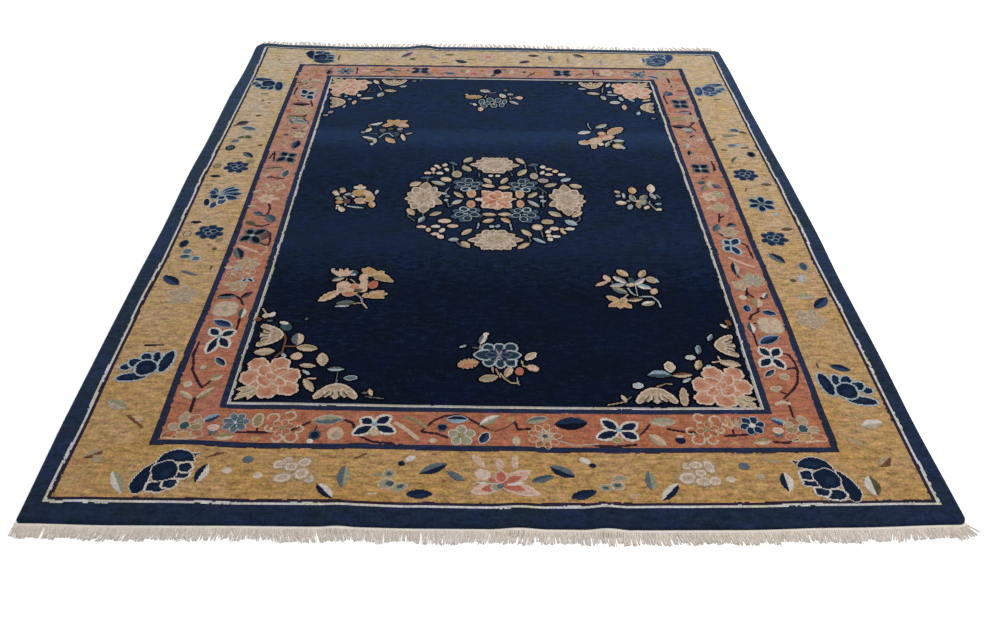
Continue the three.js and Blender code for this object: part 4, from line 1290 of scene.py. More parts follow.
def left_rust():
    draw(
        stems=[
            ("stem", 9, (-1051, -952), (-1055, -1020), (-1042, -1065), (-1038, -1098), (-1000, -1165),
             (-985, -1185), (-965, -1157)), ("stem", 9, (-935, -815), (-933, -885)),
            ("stem", 9, (-1035, -695), (-1015, -677), (-975, -685), (-955, -702), (-940, -735)),
            ("stem", 9, (-948, -232), (-926, -252), (-915, -318), (-920, -346), (-950, -328)),
            ("stem", 9, (-972, -25), (-961, -60), (-965, -120), (-996, -117)),
            ("stem", 9, (-1006, -193), (-970, -202), (-945, -186)),
            ("cream", 7, (-925, -350), (-915, -385), (-936, -412)), ("stem", 8, (-1000, 202), (-950, 194)),
            ("stem", 9, (-1030, 445), (-1020, 355)), ("stem", 9, (-970, 690), (-957, 660), (-920, 615)),
            ("brown", 6, (-975, 212), (-975, 184)), ("stem", 9, (-950, 830), (-942, 785), (-912, 740)),
            ("stem", 9, (-940, 1000), (-922, 935)),
            ("stem", 9, (-1036, 1165), (-1041, 1090), (-1038, 1050), (-1004, 1002)),
            ("cream", 8, (-1004, 512), (-976, 474)), ("stem", 9, (-958, 1330), (-958, 1300)),
            ("stem", 9, (-1030, 1190), (-1000, 1204), (-976, 1270)),
            ("stem", 9, (-1010, 705), (-985, 694), (-960, 664), (-930, 650)),
            ("stem", 9, (-1036, 428), (-1044, 380)), ("coral", 8, (-1036, 590), (-1000, 575), (-960, 560)),
            ("stem", 9, (-955, 908), (-935, 850), (-948, 800)),
            ("pink", 14, (-1030, -350), (-992, -372), (-955, -390)),
            ("cream", 12, (-1000, 84), (-970, 108), (-980, 140)),
            ("cream", 12, (-955, 90), (-930, 118), (-945, 148)), ("olive", 12, (-1020, 276), (-990, 294)),
            ("moss", 12, (-1030, 806), (-1000, 818)),
        ],
        blades=[
            (-1055, -1203, -1005, -1240, 24, "cream", "sand"),
            (-992, -1240, -940, -1185, 26, "cream", "olive"),
            (-975, -1030, -930, -1080, 32, "navy", "teal", "white"),
            (-1030, -825, -950, -865, 42, "navy", "blue", "mist"),
            (-1042, -360, -1010, -440, 40, "navy", "slate"), (-990, 800, -955, 720, 24, "slate", "sage"),
            (-1016, 790, -985, 722, 18, "slate"),
        ],
        leaves=[
            (-948, -1135, 48, 30, 30, "olive", "cream"), (-932, -785, 58, 28, 90, "teal", "white"),
            (-1012, -684, 72, 34, 5, "midnight", "slate"), (-938, -676, 52, 26, 45, "midnight", "plum"),
            (-1010, -500, 46, 28, -40, "slate", "mist"), (-1044, -500, 34, 22, 0, "cream"),
            (-1026, -534, 44, 26, 10, "olive", "sand"), (-1024, -606, 52, 26, 10, "sand", "cream"),
            (-1010, 130, 58, 24, -60, "cream", "sand"), (-950, 108, 60, 32, 20, "sand", "cream"),
            (-1032, 226, 50, 30, 20, "sand", "pink"), (-1042, 80, 44, 24, 30, "pink", "sand"),
            (-1040, -46, 40, 22, 0, "cream", "sand"), (-952, 20, 44, 26, -20, "pink", "cream"),
            (-1022, -178, 56, 30, -30, "moss"), (-946, -140, 72, 46, -60, "teal", "slate"),
            (-1006, -102, 46, 30, -30, "blue", "slate"), (-944, -275, 66, 36, 70, "brown", "plum"),
            (-947, 240, 78, 42, 82, "slate", "teal", "pearl"),
            (-942, 520, 92, 46, 82, "blue", "midnight", "slate"),
            (-985, 960, 96, 40, -4, "plum", "midnight"), (-930, 862, 44, 60, 80, "ochre", "sand"),
            (-985, 812, 108, 34, -6, "moss", "sage"), (-962, 762, 96, 44, -24, "slate", "sage", "mist"),
            (-925, 690, 60, 36, 70, "olive", "cream"), (-1024, 1238, 62, 44, 20, "olive", "moss"),
            (-946, 1246, 76, 40, -14, "cream", "sage"), (-980, 1170, 60, 44, 10, "blue", "plum"),
            (-945, 1310, 54, 40, 10, "coral", "salmon"), (-1026, 880, 44, 60, 90, "coral", "salmon"),
            (-1010, 210, 34, 18, 40, "plum"), (-932, 330, 52, 24, -60, "olive", "sage"),
            (-1006, 284, 88, 34, 10, "moss", "sand"), (-936, 1130, 60, 40, 70, "cream", "sand"),
            (-1040, 1296, 46, 60, 90, "salmon", "ochre"), (-1030, 620, 44, 60, 80, "ochre", "salmon"),
        ],
        ovals=[
            (-1035, -1170, 30, 28, 0, "cream", "white"), (-1005, -1085, 28, 28, 0, "cream", "olive"),
            (-1005, 620, 24, 20, 0, "teal"), (-1005, 1240, 46, 40, 0, "olive", "cream"),
        ],
        stars=[
            (-987, -920, 42, "navy", "white", "sky", (-1030, -872), (-932, -886), (-1012, -1018),
             (-940, -984)),
            (-998, -270, 42, "midnight", "slate", "mist", (-1024, -220), (-944, -220), (-1042, -314),
             (-956, -334)),
            (-965, 398, 42, "midnight", "slate", "mist", (-996, 446), (-920, 426), (-1010, 350),
             (-924, 340)),
            (-972, 1072, 46, "navy", "mist", "sky", (-1004, 1140), (-932, 1112), (-1016, 1030),
             (-932, 1014)),
            (-958, -568, 17, "midnight", "mist", None, (-986, -548), (-928, -594), (-934, -552),
             (-972, -594)),
        ],
        blossoms=[
            (-972, 892, 50, 6, 0, "sand", "cream", "ochre"),
            (-1012, 1330, 48, 5, 10, "ground", "cream", "coral"),
            (-1020, 1040, 34, 5, 0, "ground", "cream", "coral"),
            (-942, 618, 36, 5, 20, "cream", "pearl", "ochre"),
            (-1018, 716, 36, 5, 20, "ground", "cream", "coral"),
            (-1008, 545, 40, 5, 0, "ground", "cream", "olive"),
            (-985, -620, 38, 5, 20, "sand", "cream", "ochre"),
            (-976, -476, 50, 7, 0, "sand", "cream", "ochre"),
            (-1020, -545, 30, 5, 0, "ground", "cream", "pink"),
            (-960, -540, 34, 5, 40, "ground", "pink", "cream"),
            (-1000, -762, 50, 4, 45, "cream", "pearl", "sand", 1.3),
            (-990, 18, 42, 6, 0, "pink", "cream", "sand"), (-985, 95, 34, 5, 30, "ground", "cream", "pink"),
            (-968, 142, 32, 5, 0, "ground", "cream", "olive"),
            (-975, 650, 30, 5, 0, "ground", "pink", "sand"),
            (-985, 1180, 30, 5, 0, "ground", "cream", "olive"),
        ],
    )


def right_rust():
    draw(
        stems=[
            ("stem", 9, (1027, -995), (1050, -1005), (1060, -1045), (1057, -1095), (1040, -1150),
             (1020, -1180), (975, -1225)), ("stem", 9, (1058, -1072), (1020, -1080)),
            ("stem", 9, (994, -1208), (972, -1196)), ("stem", 9, (950, -890), (950, -955)),
            ("stem", 9, (1005, -740), (1000, -760), (970, -780), (957, -805)),
            ("stem", 9, (987, -620), (985, -655)), ("stem", 9, (1040, -295), (1060, -320), (1065, -405)),
            ("stem", 9, (996, -76), (982, -142)), ("stem", 8, (1012, -92), (988, -114)),
            ("stem", 9, (965, -233), (985, -257), (1006, -270)), ("stem", 8, (965, -507), (978, -542)),
            ("stem", 9, (990, -612), (983, -645), (974, -672)), ("stem", 8, (983, -640), (1002, -668)),
            ("plum", 9, (980, 226), (1010, 248)), ("coral", 6, (995, 248), (995, 222)),
            ("stem", 9, (1055, 400), (1060, 310)), ("stem", 9, (1005, 644), (1005, 616)),
            ("stem", 9, (1050, 795), (1020, 750), (1040, 705)), ("stem", 9, (1050, 918), (1050, 884)),
            ("stem", 9, (990, 1178), (955, 1142), (941, 1090), (947, 1010)),
            ("plum", 9, (1044, 905), (1052, 850), (1032, 775), (1012, 744)),
            ("stem", 9, (1000, 1330), (1005, 1190), (960, 1150)), ("stem", 9, (1020, 650), (990, 622)),
            ("stem", 9, (1050, 300), (1062, 360)), ("cream", 14, (940, -1254), (962, -1244), (984, -1250)),
            ("pink", 14, (970, -410), (1012, -446), (1050, -470)), ("stem", 8, (966, -830), (994, -830)),
            ("cream", 12, (990, -40), (1015, -12), (1040, -30)),
        ],
        blades=[
            (932, -1125, 982, -1080, 26, "navy", "teal", "white"),
            (955, -945, 1043, -900, 44, "blue", "navy", "sky"), (945, -215, 977, -155, 30, "teal", "slate"),
        ],
        leaves=[
            (952, -855, 62, 28, 90, "teal", "white"), (962, -740, 50, 36, 80, "navy", "blue", "mist"),
            (1040, -767, 62, 36, -15, "navy", "blue", "mist"), (1010, -705, 56, 42, 80, "olive", "cream"),
            (1050, -662, 44, 24, 60, "white", "teal"), (975, -480, 92, 32, 86, "navy", "pearl"),
            (1030, -165, 44, 34, 20, "navy", "slate"), (974, 142, 56, 34, 60, "slate", "olive"),
            (1010, 176, 70, 36, 80, "cream", "sand"), (966, -30, 50, 30, 30, "cream", "sand"),
            (1046, 30, 50, 30, 70, "coral", "salmon"), (1034, 158, 54, 34, -50, "slate", "plum"),
            (970, 190, 44, 26, 40, "teal"), (970, 465, 66, 30, 88, "midnight", "slate"),
            (966, 548, 62, 30, 80, "sage", "mist"), (957, 660, 34, 24, 0, "olive", "ochre"),
            (1005, 690, 48, 26, 30, "slate"), (972, 745, 104, 42, -8, "plum", "midnight"),
            (1000, 716, 60, 34, -20, "sage", "mist"), (968, 834, 60, 48, 0, "olive", "sage"),
            (1020, 912, 70, 36, 10, "plum", "lilac"), (972, 1132, 56, 52, 60, "slate", "blue"),
            (1046, 1166, 60, 28, 0, "brown", "coral"), (1046, 1090, 72, 42, 20, "sage", "cream"),
            (1048, 1318, 60, 66, 60, "salmon", "coral"), (966, 658, 50, 60, 10, "ochre", "salmon"),
            (1034, 500, 60, 44, 20, "ochre", "salmon"), (1040, 612, 44, 50, 30, "sand", "cream"),
            (960, 936, 50, 44, 40, "coral", "salmon"),
        ],
        ovals=[
            (958, -1180, 44, 28, 20, "sand", "cream"), (1003, -1120, 38, 34, 0, "sand", "cream"),
            (962, -672, 28, 26, 0, "cream", "white"), (1034, -676, 14, 14, 0, "stem"),
            (1052, 1345, 34, 24, 0, "ochre"), (925, 1335, 22, 22, 0, "blue"),
        ],
        stars=[
            (985, -1020, 42, "navy", "white", "sky", (950, -962), (1028, -964), (930, -1070), (1018, -1084)),
            (995, -320, 42, "ink", "mist", "sky", (972, -274), (1038, -264), (958, -364), (1018, -390)),
            (990, 320, 42, "midnight", "slate", "mist", (1030, 362), (952, 360), (956, 284), (1026, 278)),
            (1014, 1005, 46, "navy", "slate", "lilac", (1054, 1056), (978, 1060), (980, 956), (1052, 958)),
        ],
        blossoms=[
            (1040, 838, 44, 6, 0, "sand", "cream", "olive"),
            (968, 1248, 46, 5, 0, "ground", "cream", "coral"),
            (1038, 1248, 36, 5, 30, "ground", "cream", "coral"),
            (968, 600, 40, 5, 0, "ground", "cream", "olive"),
            (1000, 430, 42, 5, 0, "ground", "cream", "ochre"),
            (1044, 424, 30, 5, 0, "ground", "cream", "pink"),
            (1028, -560, 50, 8, 10, "sage", "cream", "lilac"),
            (1026, -842, 52, 4, 45, "cream", "pearl", "cream", 1.3),
            (1008, -218, 44, 6, 0, "sand", "cream", "olive"),
            (968, -596, 34, 5, 0, "sand", "cream", "pink"), (1010, -26, 44, 5, 20, "sand", "cream", "sage"),
            (982, 66, 42, 6, 0, "pink", "cream", "sand"), (1026, 84, 34, 5, 30, "sage", "cream", "sand"),
            (1000, 600, 30, 5, 0, "ground", "pink", "sand"),
            (1000, 1180, 30, 5, 0, "ground", "cream", "olive"),
        ],
    )


def far_rust():
    draw(
        stems=[
            ("stem", 8, (-640, 1378), (-610, 1370), (-584, 1384)),
            ("brown", 10, (-472, 1378), (-438, 1372)),
            ("stem", 8, (-270, 1360), (-230, 1378), (-185, 1355)), ("brown", 8, (-92, 1358), (-48, 1372)),
            ("stem", 8, (265, 1395), (240, 1360), (215, 1335)),
            ("stem", 8, (180, 1400), (215, 1420), (240, 1360)), ("stem", 8, (490, 1360), (526, 1376)),
            ("stem", 7, (592, 1365), (592, 1430)), ("stem", 8, (764, 1414), (806, 1406)),
            ("stem", 8, (-736, 1350), (-740, 1430)), ("stem", 8, (-540, 1400), (-490, 1386), (-440, 1396)),
            ("stem", 8, (20, 1345), (60, 1420), (100, 1420)),
            ("stem", 8, (600, 1380), (650, 1402), (690, 1360)),
            ("stem", 8, (-950, 1352), (-900, 1390), (-880, 1420)),
        ],
        leaves=[
            (-558, 1405, 50, 40, 20, "midnight", "slate"), (-525, 1370, 54, 40, -20, "sage", "olive"),
            (-215, 1362, 60, 36, 0, "blue", "slate", "mist"), (-130, 1395, 56, 60, 80, "olive", "cream"),
            (50, 1395, 74, 46, 85, "midnight", "navy"), (24, 1345, 44, 28, 60, "teal"),
            (545, 1355, 66, 40, 20, "olive", "cream"), (532, 1428, 60, 28, -10, "sage", "cream"),
            (625, 1360, 48, 30, -20, "midnight", "slate"), (922, 1335, 60, 34, -30, "blue", "sky"),
            (-662, 1424, 60, 30, 20, "cream", "olive"), (-640, 1342, 56, 28, -20, "olive", "cream"),
            (-888, 1362, 60, 34, 80, "midnight", "plum"), (120, 1390, 64, 44, 80, "sage", "cream"),
            (868, 1412, 50, 30, 60, "sage", "teal"), (-330, 1346, 50, 30, 30, "teal", "sage"),
        ],
        ovals=[
            (-690, 1380, 54, 40, 0, "pink", "cream"), (-300, 1400, 44, 60, 0, "salmon", "ochre"),
            (-78, 1366, 40, 30, 0, "coral"), (0, 1352, 40, 30, 0, "cream", "sand"),
            (286, 1380, 52, 66, 0, "salmon", "ochre"), (-840, 1424, 44, 26, 0, "coral", "pink"),
            (770, 1350, 44, 28, 0, "pink", "cream"), (460, 1330, 40, 20, 0, "cream"),
        ],
        stars=[
            (-385, 1398, 38, "navy", "slate", "sky", (-434, 1432), (-338, 1432), (-434, 1366), (-338, 1366)),
            (412, 1382, 38, "navy", "slate", "sky", (364, 1418), (460, 1418), (366, 1348), (460, 1348)),
        ],
        blossoms=[
            (-800, 1378, 50, 6, 0, "slate", "mist", "navy"), (840, 1372, 50, 6, 0, "slate", "mist", "navy"),
            (-972, 1380, 56, 6, 0, "salmon", "cream", "olive"),
            (990, 1384, 58, 6, 0, "sand", "cream", "olive"),
            (-455, 1402, 40, 5, 0, "ground", "cream", "brown"),
            (-40, 1402, 44, 5, 20, "ground", "cream", "coral"),
            (200, 1392, 40, 5, 0, "ground", "cream", "stem"),
            (664, 1392, 48, 5, 0, "cream", "pink", "sand"),
            (730, 1404, 38, 5, 30, "ground", "cream", "pink"),
            (-212, 1420, 34, 5, 0, "ground", "cream", "salmon"),
        ],
    )


def knot_the_pattern():
    for part in (
        medallion, field_corners, field_sprays, near_gold, side_gold, far_gold,
        near_rust, left_rust, right_rust, far_rust,
    ):
        part()


# A rim of the field along its inner line that gets no painted shade round its motifs
UNSHADED_RIM = 8


def paint_shade_round_field_motifs():
    """A dark ring of knots round each motif of the field: painted shade for pile cut back there, knotted in
    as colour and not carved.
    """
    margin = INNER_LINE + UNSHADED_RIM
    place = np.ix_(np.abs(KNOT_V) < HALF_LENGTH - margin, np.abs(KNOT_U) < HALF_WIDTH - margin)
    drawn = CHART[place] > 0
    CHART[place] = np.where(grown(grown(drawn, 8), 4) & ~drawn, DYE_NUMBER["groove_shade"], CHART[place])


knot_the_pattern()
# Painted shade: a dark ring of knots round the field's motifs
paint_shade_round_field_motifs()


# Meshes from arrays


def make_mesh(name, points, quads, smooth=True):
    """A mesh object from points in millimetres and faces of four corners."""
    mesh = bpy.data.meshes.new(name)
    mesh.vertices.add(len(points))
    mesh.vertices.foreach_set("co", ((points + SHIFT) * MM).astype(np.float32).ravel())
    mesh.loops.add(quads.size)
    mesh.loops.foreach_set("vertex_index", quads.astype(np.int32).ravel())
    mesh.polygons.add(len(quads))
    mesh.polygons.foreach_set("loop_start", np.arange(0, quads.size, 4, dtype=np.int32))
    mesh.update(calc_edges=True)
    mesh.validate()
    mesh.polygons.foreach_set("use_smooth", np.full(len(quads), smooth))
    piece = bpy.data.objects.new(name, mesh)
    bpy.context.scene.collection.objects.link(piece)
    return piece


def add_attribute(piece, name, kind, domain, values):
    attribute = piece.data.attributes.new(name, kind, domain)
    key = "color" if kind.endswith("COLOR") else "vector"
    attribute.data.foreach_set(key, np.asarray(values, np.float32).ravel())


def add_bake_map(piece, coordinates):
    layer = piece.data.uv_layers.new(name="OFBake")
    layer.data.foreach_set("uv", np.asarray(coordinates, np.float32).ravel())


def map_area(across, along, left, low, width, height):
    """Shares across and along, as places in one area of a bake map."""
    return np.stack([left + width * across, low + height * along], -1)


def grid_quads(rows, columns, start=0):
    """Corner indices of the faces of a grid of points."""
    index = start + np.arange(rows * columns).reshape(rows, columns)
    corners = [index[:-1, :-1], index[:-1, 1:], index[1:, 1:], index[1:, :-1]]
    return np.stack([corner.ravel() for corner in corners], -1)


# Areas of the cloth's bake map: its top, its underside squeezed below that, and the rim about its middle
TOP_AREA = (0.02, 0.07, 0.96, 0.91)
UNDER_AREA = (0.02, 0.003, 0.96, 0.05)
RIM_AREA = (0.5, 0.525, 0.995, 0.94)


def rug_pile():
    """The cloth: its top, its underside and the wall between them, in one closed mesh."""
    rows, columns = TOP.shape[:2]
    layer = rows * columns
    points = np.concatenate([TOP.reshape(-1, 3), UNDERSIDE.reshape(-1, 3)])
    top = grid_quads(rows, columns)
    under = grid_quads(rows, columns, layer)[:, ::-1]
    index = np.arange(layer).reshape(rows, columns)
    rim = np.concatenate([index[0, :-1], index[:-1, -1], index[-1, :0:-1], index[:0:-1, 0]])
    after = np.roll(rim, -1)
    wall = np.stack([rim + layer, after + layer, after, rim], -1)
    piece = make_mesh("rug_pile", points, np.concatenate([top, under, wall]))
    u, v = np.meshgrid(LINES_U * MM, LINES_V * MM)
    chart = np.stack([u, v, np.zeros_like(u)], -1).reshape(-1, 3)
    add_attribute(piece, "chart", "FLOAT_VECTOR", "POINT", np.concatenate([chart, chart]))
    across = (u.ravel() / MM / HALF_WIDTH + 1) / 2
    along = (v.ravel() / MM / HALF_LENGTH + 1) / 2
    top_map = map_area(across, along, *TOP_AREA)
    places = np.concatenate([top_map, map_area(across, along, *UNDER_AREA)])
    outer = map_area(across - 0.5, along - 0.5, *RIM_AREA)
    wall_map = np.stack([outer[rim], outer[after], top_map[after], top_map[rim]], 1)
    add_bake_map(piece, np.concatenate([places[top], places[under], wall_map]))
    return piece


# The pattern's knots as inlays, a little proud of the ground knots and let into them at the sides

KNOT_PROUD = 0.5
KNOT_SUNK = -0.6
TUFT_HEIGHTS = (-0.12, 0.12)
TUFT_TINTS = (0.8, 1.18)
TUFT_SEED = 17
DYE_STRENGTH = 0.6
DEPTH_U = HALF_WIDTH - np.abs(KNOT_U)[None, :]
DEPTH_V = HALF_LENGTH - np.abs(KNOT_V)[:, None]
DEPTH = np.minimum(DEPTH_U, DEPTH_V)
MEDALLION_PLACE = (15, 25)
MEDALLION_REACH = 450
FROM_MEDALLION = np.hypot(KNOT_U[None, :] - MEDALLION_PLACE[0], KNOT_V[:, None] - MEDALLION_PLACE[1])
IN_MEDALLION = FROM_MEDALLION < MEDALLION_REACH


def plan_map(middle_u, middle_v, half_u, half_v):
    """Bake map of a part of the field: its plan as it lies."""
    def flat(u, v, side):
        return np.stack([0.5 + 0.49 * (u - middle_u) / half_u, 0.5 + 0.49 * (v - middle_v) / half_v], -1)
    return flat


def border_map(start, end):
    """Bake map of a border: its four sides as strips, one above the other."""
    def strips(u, v, side):
        along = np.where(side < 2, u + HALF_WIDTH, v + HALF_LENGTH) / (2 * HALF_LENGTH)
        out = np.where(side < 2, HALF_LENGTH - np.abs(v), HALF_WIDTH - np.abs(u))
        share = (out - start) / (end - start)
        return np.stack([0.01 + 0.98 * along, (side + 0.06 + 0.88 * share) / 4], -1)
    return strips


def knot_walls(chosen, row, column, quads):
    """Upper edges of the walls round the knots, and the number of the knot that each belongs to."""
    framed = np.pad(chosen, 1)
    walls = []
    owner = []
    for k, (down, right) in enumerate([(-1, 0), (0, 1), (1, 0), (0, -1)]):
        open_side = np.nonzero(~framed[row + 1 + down, column + 1 + right])[0]
        walls.append(np.stack([quads[open_side, (k + 1) % 4], quads[open_side, k]], -1))
        owner.append(open_side)
    return np.concatenate(walls), np.concatenate(owner)


def knot_colours(numbers, random):
    """The colour of each knot: its dye, a little lighter or darker from knot to knot."""
    dyes = np.array([(0, 0, 0, 1)] + [linear(*colour) for colour in DYES.values()])
    dyes[:, :3] *= DYE_STRENGTH
    tint = random.uniform(*TUFT_TINTS, len(numbers))[:, None] * [1, 1, 1, 0] + [0, 0, 0, 1]
    return dyes[numbers] * tint


def rug_side(row, column):
    """Number of the rug's side that a knot is nearest to: near, far, left or right."""
    at_end = np.where(KNOT_V[:, None] < 0, 0, 1)
    at_side = np.where(KNOT_U[None, :] < 0, 2, 3)
    return np.where(DEPTH_V < DEPTH_U, at_end, at_side)[row, column]


def knot_inlay(name, area, bake_map):
    """A mesh of the dyed knots in an area of the chart."""
    chosen = (CHART > 0) & area
    row, column = np.nonzero(chosen)
    across = len(COLUMN_EDGES)
    corner_steps = [(0, 0), (0, 1), (1, 1), (1, 0)]
    crossings = np.stack([(row + down) * across + column + right for down, right in corner_steps], -1)
    used, quads = np.unique(crossings, return_inverse=True)
    quads = quads.reshape(-1, 4)
    u, v = COLUMN_EDGES[used % across], ROW_EDGES[used // across]
    random = np.random.default_rng(TUFT_SEED)
    top = lay(u, v, KNOT_PROUD + random.uniform(*TUFT_HEIGHTS, len(used)))

    walls, wall_owner = knot_walls(chosen, row, column, quads)
    rim, sunk = np.unique(walls, return_inverse=True)
    sunk = sunk.reshape(-1, 2) + len(used)
    points = np.concatenate([top, lay(u[rim], v[rim], KNOT_SUNK)])
    wall_quads = np.stack([walls[:, 1], sunk[:, 1], sunk[:, 0], walls[:, 0]], -1)
    piece = make_mesh(name, points, np.concatenate([quads, wall_quads]))

    colours = knot_colours(CHART[row, column], random)
    colours = np.concatenate([colours, colours[wall_owner]])
    add_attribute(piece, "dye", "FLOAT_COLOR", "CORNER", np.repeat(colours, 4, axis=0))
    places = np.stack([np.append(u, u[rim]), np.append(v, v[rim]), np.zeros(len(points))], -1)
    add_attribute(piece, "place", "FLOAT_VECTOR", "POINT", places * MM)
    corner_side = np.repeat(rug_side(row, column)[:, None], 4, 1)
    flat = bake_map(u[quads], v[quads], corner_side)
    middle = flat.mean(axis=1, keepdims=True)
    wall_map = middle[wall_owner] + 0.8 * (flat[wall_owner] - middle[wall_owner])
    add_bake_map(piece, np.concatenate([flat, wall_map]))
    return piece


# The fringes: a narrow woven strip along each end of the cloth, and the warp ends that it leaves

FRINGES = [
    dict(
        name="fringe_near", end=-1, locks=128, threads=16, length=42, lean=0.16, splay=1.1, stray=0.05,
        seed=11,
    ),
    dict(name="fringe_far", end=1, locks=96, threads=8, length=62, lean=0.24, splay=0.4, stray=0.18, seed=29),
]
# Periods and shares of the waves in which the locks lean to the left and right
LEAN_WAVES = [(1070, 1.0), (383, 0.6)]
# How far locks and threads differ: places in mm, leans in radians, the rest as shares
LOCK_NUDGE = 0.12
ROOT_SCATTER = 0.4
LOCK_LEAN = 0.12
THREAD_LEAN = 0.07
STRAY_LEAN = 0.35
SHORTEST_LOCK = 0.82
LOCK_DIFFERENCE = 0.3
THREAD_LENGTHS = (0.88, 1.05)
STRAY_LENGTHS = (0.6, 1.2)
LOCK_SPLAYS = (0.6, 1.25)
WAVER = 1.3
WAVER_TURNS = 3
TAPER = 0.3
FLOOR_CLEARANCE = 0.02
# How far the threads fan out round the left and right corners
CORNER_FAN = (0.3, 0.8)
ARC_TURN = 0.85
PATH_STEP = 6
ROOT_INSIDE = 5
ROOT_RISE = 0.6
SETTLED_AT = 0.45
YARN_RADIUS = 0.8
LOCK_THICKNESS = 2.4
STRIP_SIDES = 12
THREAD_SIDES = 4
THREAD_STATIONS = [-1, 0.06, 0.2, 0.36, 0.52, 0.68, 0.84, 1.0]
STRIP_LUMPS = (0.35, 40, 9)
# Bake map of a fringe: the strip along the top, and below it a tile for each thread
STRIP_AREA = (0.005, 0.91, 0.99, 0.08)
TILE_COLUMNS = 48
TILES_HEIGHT = 0.9
TILE_MARGIN = 0.1


def lock_numbers(seed, count):
    """A repeatable series from 0 to 1, the one that the solid's locks are made with."""
    numbers = []
    for _ in range(count):
        seed = seed * 16807 % 2147483647
        numbers.append(seed / 2147483647)
    return np.array(numbers)


def end_path(sign):
    """Points along one end and part of the way round both its corners, with outward directions."""
    turns = np.linspace(0, ARC_TURN, 7)
    arcs = []
    for side in (-1, 1):
        radius, centre_x, centre_y = corner_arc(side, sign)
        outward = np.stack([side * np.sin(turns), sign * np.cos(turns)], -1)
        arcs.append((np.array([centre_x, centre_y]) + radius * outward, outward))
    (left, left_outward), (right, right_outward) = arcs
    x = np.arange(left[0, 0] + PATH_STEP, right[0, 0] - 1, PATH_STEP)
    edge = np.stack([x, sign * (HALF_LENGTH + end_bulge(sign, x))], -1)
    points = np.concatenate([left[::-1], edge, right])
    outward = np.concatenate([left_outward[::-1], np.tile([0, sign], (len(x), 1)), right_outward])
    return points, outward


def tube_quads(count, stations, sides, flipped):
    """Faces of closed tubes, and where each face corner lies round and along its tube, from 0 to 1."""
    index = np.arange(count * stations * sides).reshape(count, stations, sides)
    after = np.roll(index, -1, axis=2)
    walls = np.stack([index[:, :-1], after[:, :-1], after[:, 1:], index[:, 1:]], -1).reshape(-1, 4)
    along, around = np.meshgrid(np.arange(stations - 1), np.arange(sides), indexing="ij")
    map_around = np.stack([around, around + 1, around + 1, around], -1) / sides
    map_along = np.stack([along, along, along + 1, along + 1], -1) / (stations - 1)
    maps = [np.tile(np.stack([map_around, map_along], -1).reshape(-1, 4, 2), (count, 1, 1))]
    caps = []
    for k in range(sides // 2 - 1):
        cap = [k, k + 1, sides - 2 - k, sides - 1 - k]
        for station, corners in ((0, cap[::-1]), (-1, cap)):
            caps.append(index[:, station, corners])
            maps.append(np.tile([[0.2, 0.2], [0.3, 0.2], [0.3, 0.3], [0.2, 0.3]], (count, 1, 1)))
    quads = np.concatenate([walls, *caps])
    maps = np.concatenate(maps)
    return (quads[:, ::-1], maps[:, ::-1]) if flipped else (quads, maps)


def woven_strip(path, outward):
    """Rings of the woven strip, rounded and a little uneven, 0.3 mm clear of the cloth."""
    turn = 2 * np.pi * np.arange(STRIP_SIDES) / STRIP_SIDES
    round_out = np.sign(np.cos(turn)) * np.abs(np.cos(turn)) ** 0.5
    round_up = np.sign(np.sin(turn)) * np.abs(np.sin(turn)) ** 0.6
    lumps = uneven(path[:, 0], path[:, 1], *STRIP_LUMPS)[:, None]
    out = STRIP_GAP + (STRIP_WIDTH + lumps) / 2 * (1 + round_out)
    up = lift(path[:, 0], path[:, 1])[:, None] + STRIP_THICKNESS / 2 * (1 + round_up)
    flat = path[:, None, :] + outward[:, None, :] * out[..., None]
    return np.concatenate([flat, np.broadcast_to(up, out.shape)[..., None]], -1)[None]


def run_along(path):
    """Length of a path up to each of its points."""
    return np.append(0, np.cumsum(np.hypot(*np.diff(path, axis=0).T)))


def thread_roots(row, path, outward, random):
    """Each thread's root, its two directions there, its place in its lock and the numbers of its lock."""
    locks, threads = row["locks"], row["threads"]
    run = run_along(path)
    pitch = run[-1] / locks
    numbers = lock_numbers(row["seed"], 4 * locks)
    nudge = LOCK_NUDGE * np.repeat(numbers[:locks] - 0.5, threads)
    own_numbers = np.repeat(numbers[locks:].reshape(locks, 3), threads, axis=0)
    place = np.tile((np.arange(threads) + 0.5) / threads - 0.5, locks)
    along = (np.repeat(np.arange(locks), threads) + 0.5 + nudge + place) * pitch
    along = along + random.normal(0, ROOT_SCATTER, len(along))
    root = np.stack([np.interp(along, run, path[:, k]) for k in (0, 1)], -1)
    out = np.stack([np.interp(along, run, outward[:, k]) for k in (0, 1)], -1)
    out[:, 0] *= np.where(root[:, 0] < 0, *CORNER_FAN)
    out /= np.hypot(out[:, 0], out[:, 1])[:, None]
    sideways = np.stack([np.abs(out[:, 1]), -row["end"] * out[:, 0]], -1)
    return root, out, sideways, place * pitch, own_numbers


def thread_habits(row, across, own_numbers, random):
    """How far each thread leans, how long it is, and how far its lock spreads. A few of them are astray."""
    count = len(across)
    wave = sum(share * np.sin(2 * np.pi * across / period + row["seed"]) for period, share in LEAN_WAVES)
    stray = random.random(count) < row["stray"]
    lean = row["lean"] * wave + LOCK_LEAN * (own_numbers[:, 0] - 0.5)
    lean = lean + random.normal(0, THREAD_LEAN, count) + stray * random.normal(0, STRAY_LEAN, count)
    length = row["length"] * (SHORTEST_LOCK + LOCK_DIFFERENCE * own_numbers[:, 1])
    length = length * random.uniform(*THREAD_LENGTHS, count)
    length = length * np.where(stray, random.uniform(*STRAY_LENGTHS, count), 1)
    splay = row["splay"] * np.repeat(random.uniform(*LOCK_SPLAYS, row["locks"]), row["threads"])
    return lean, length, splay


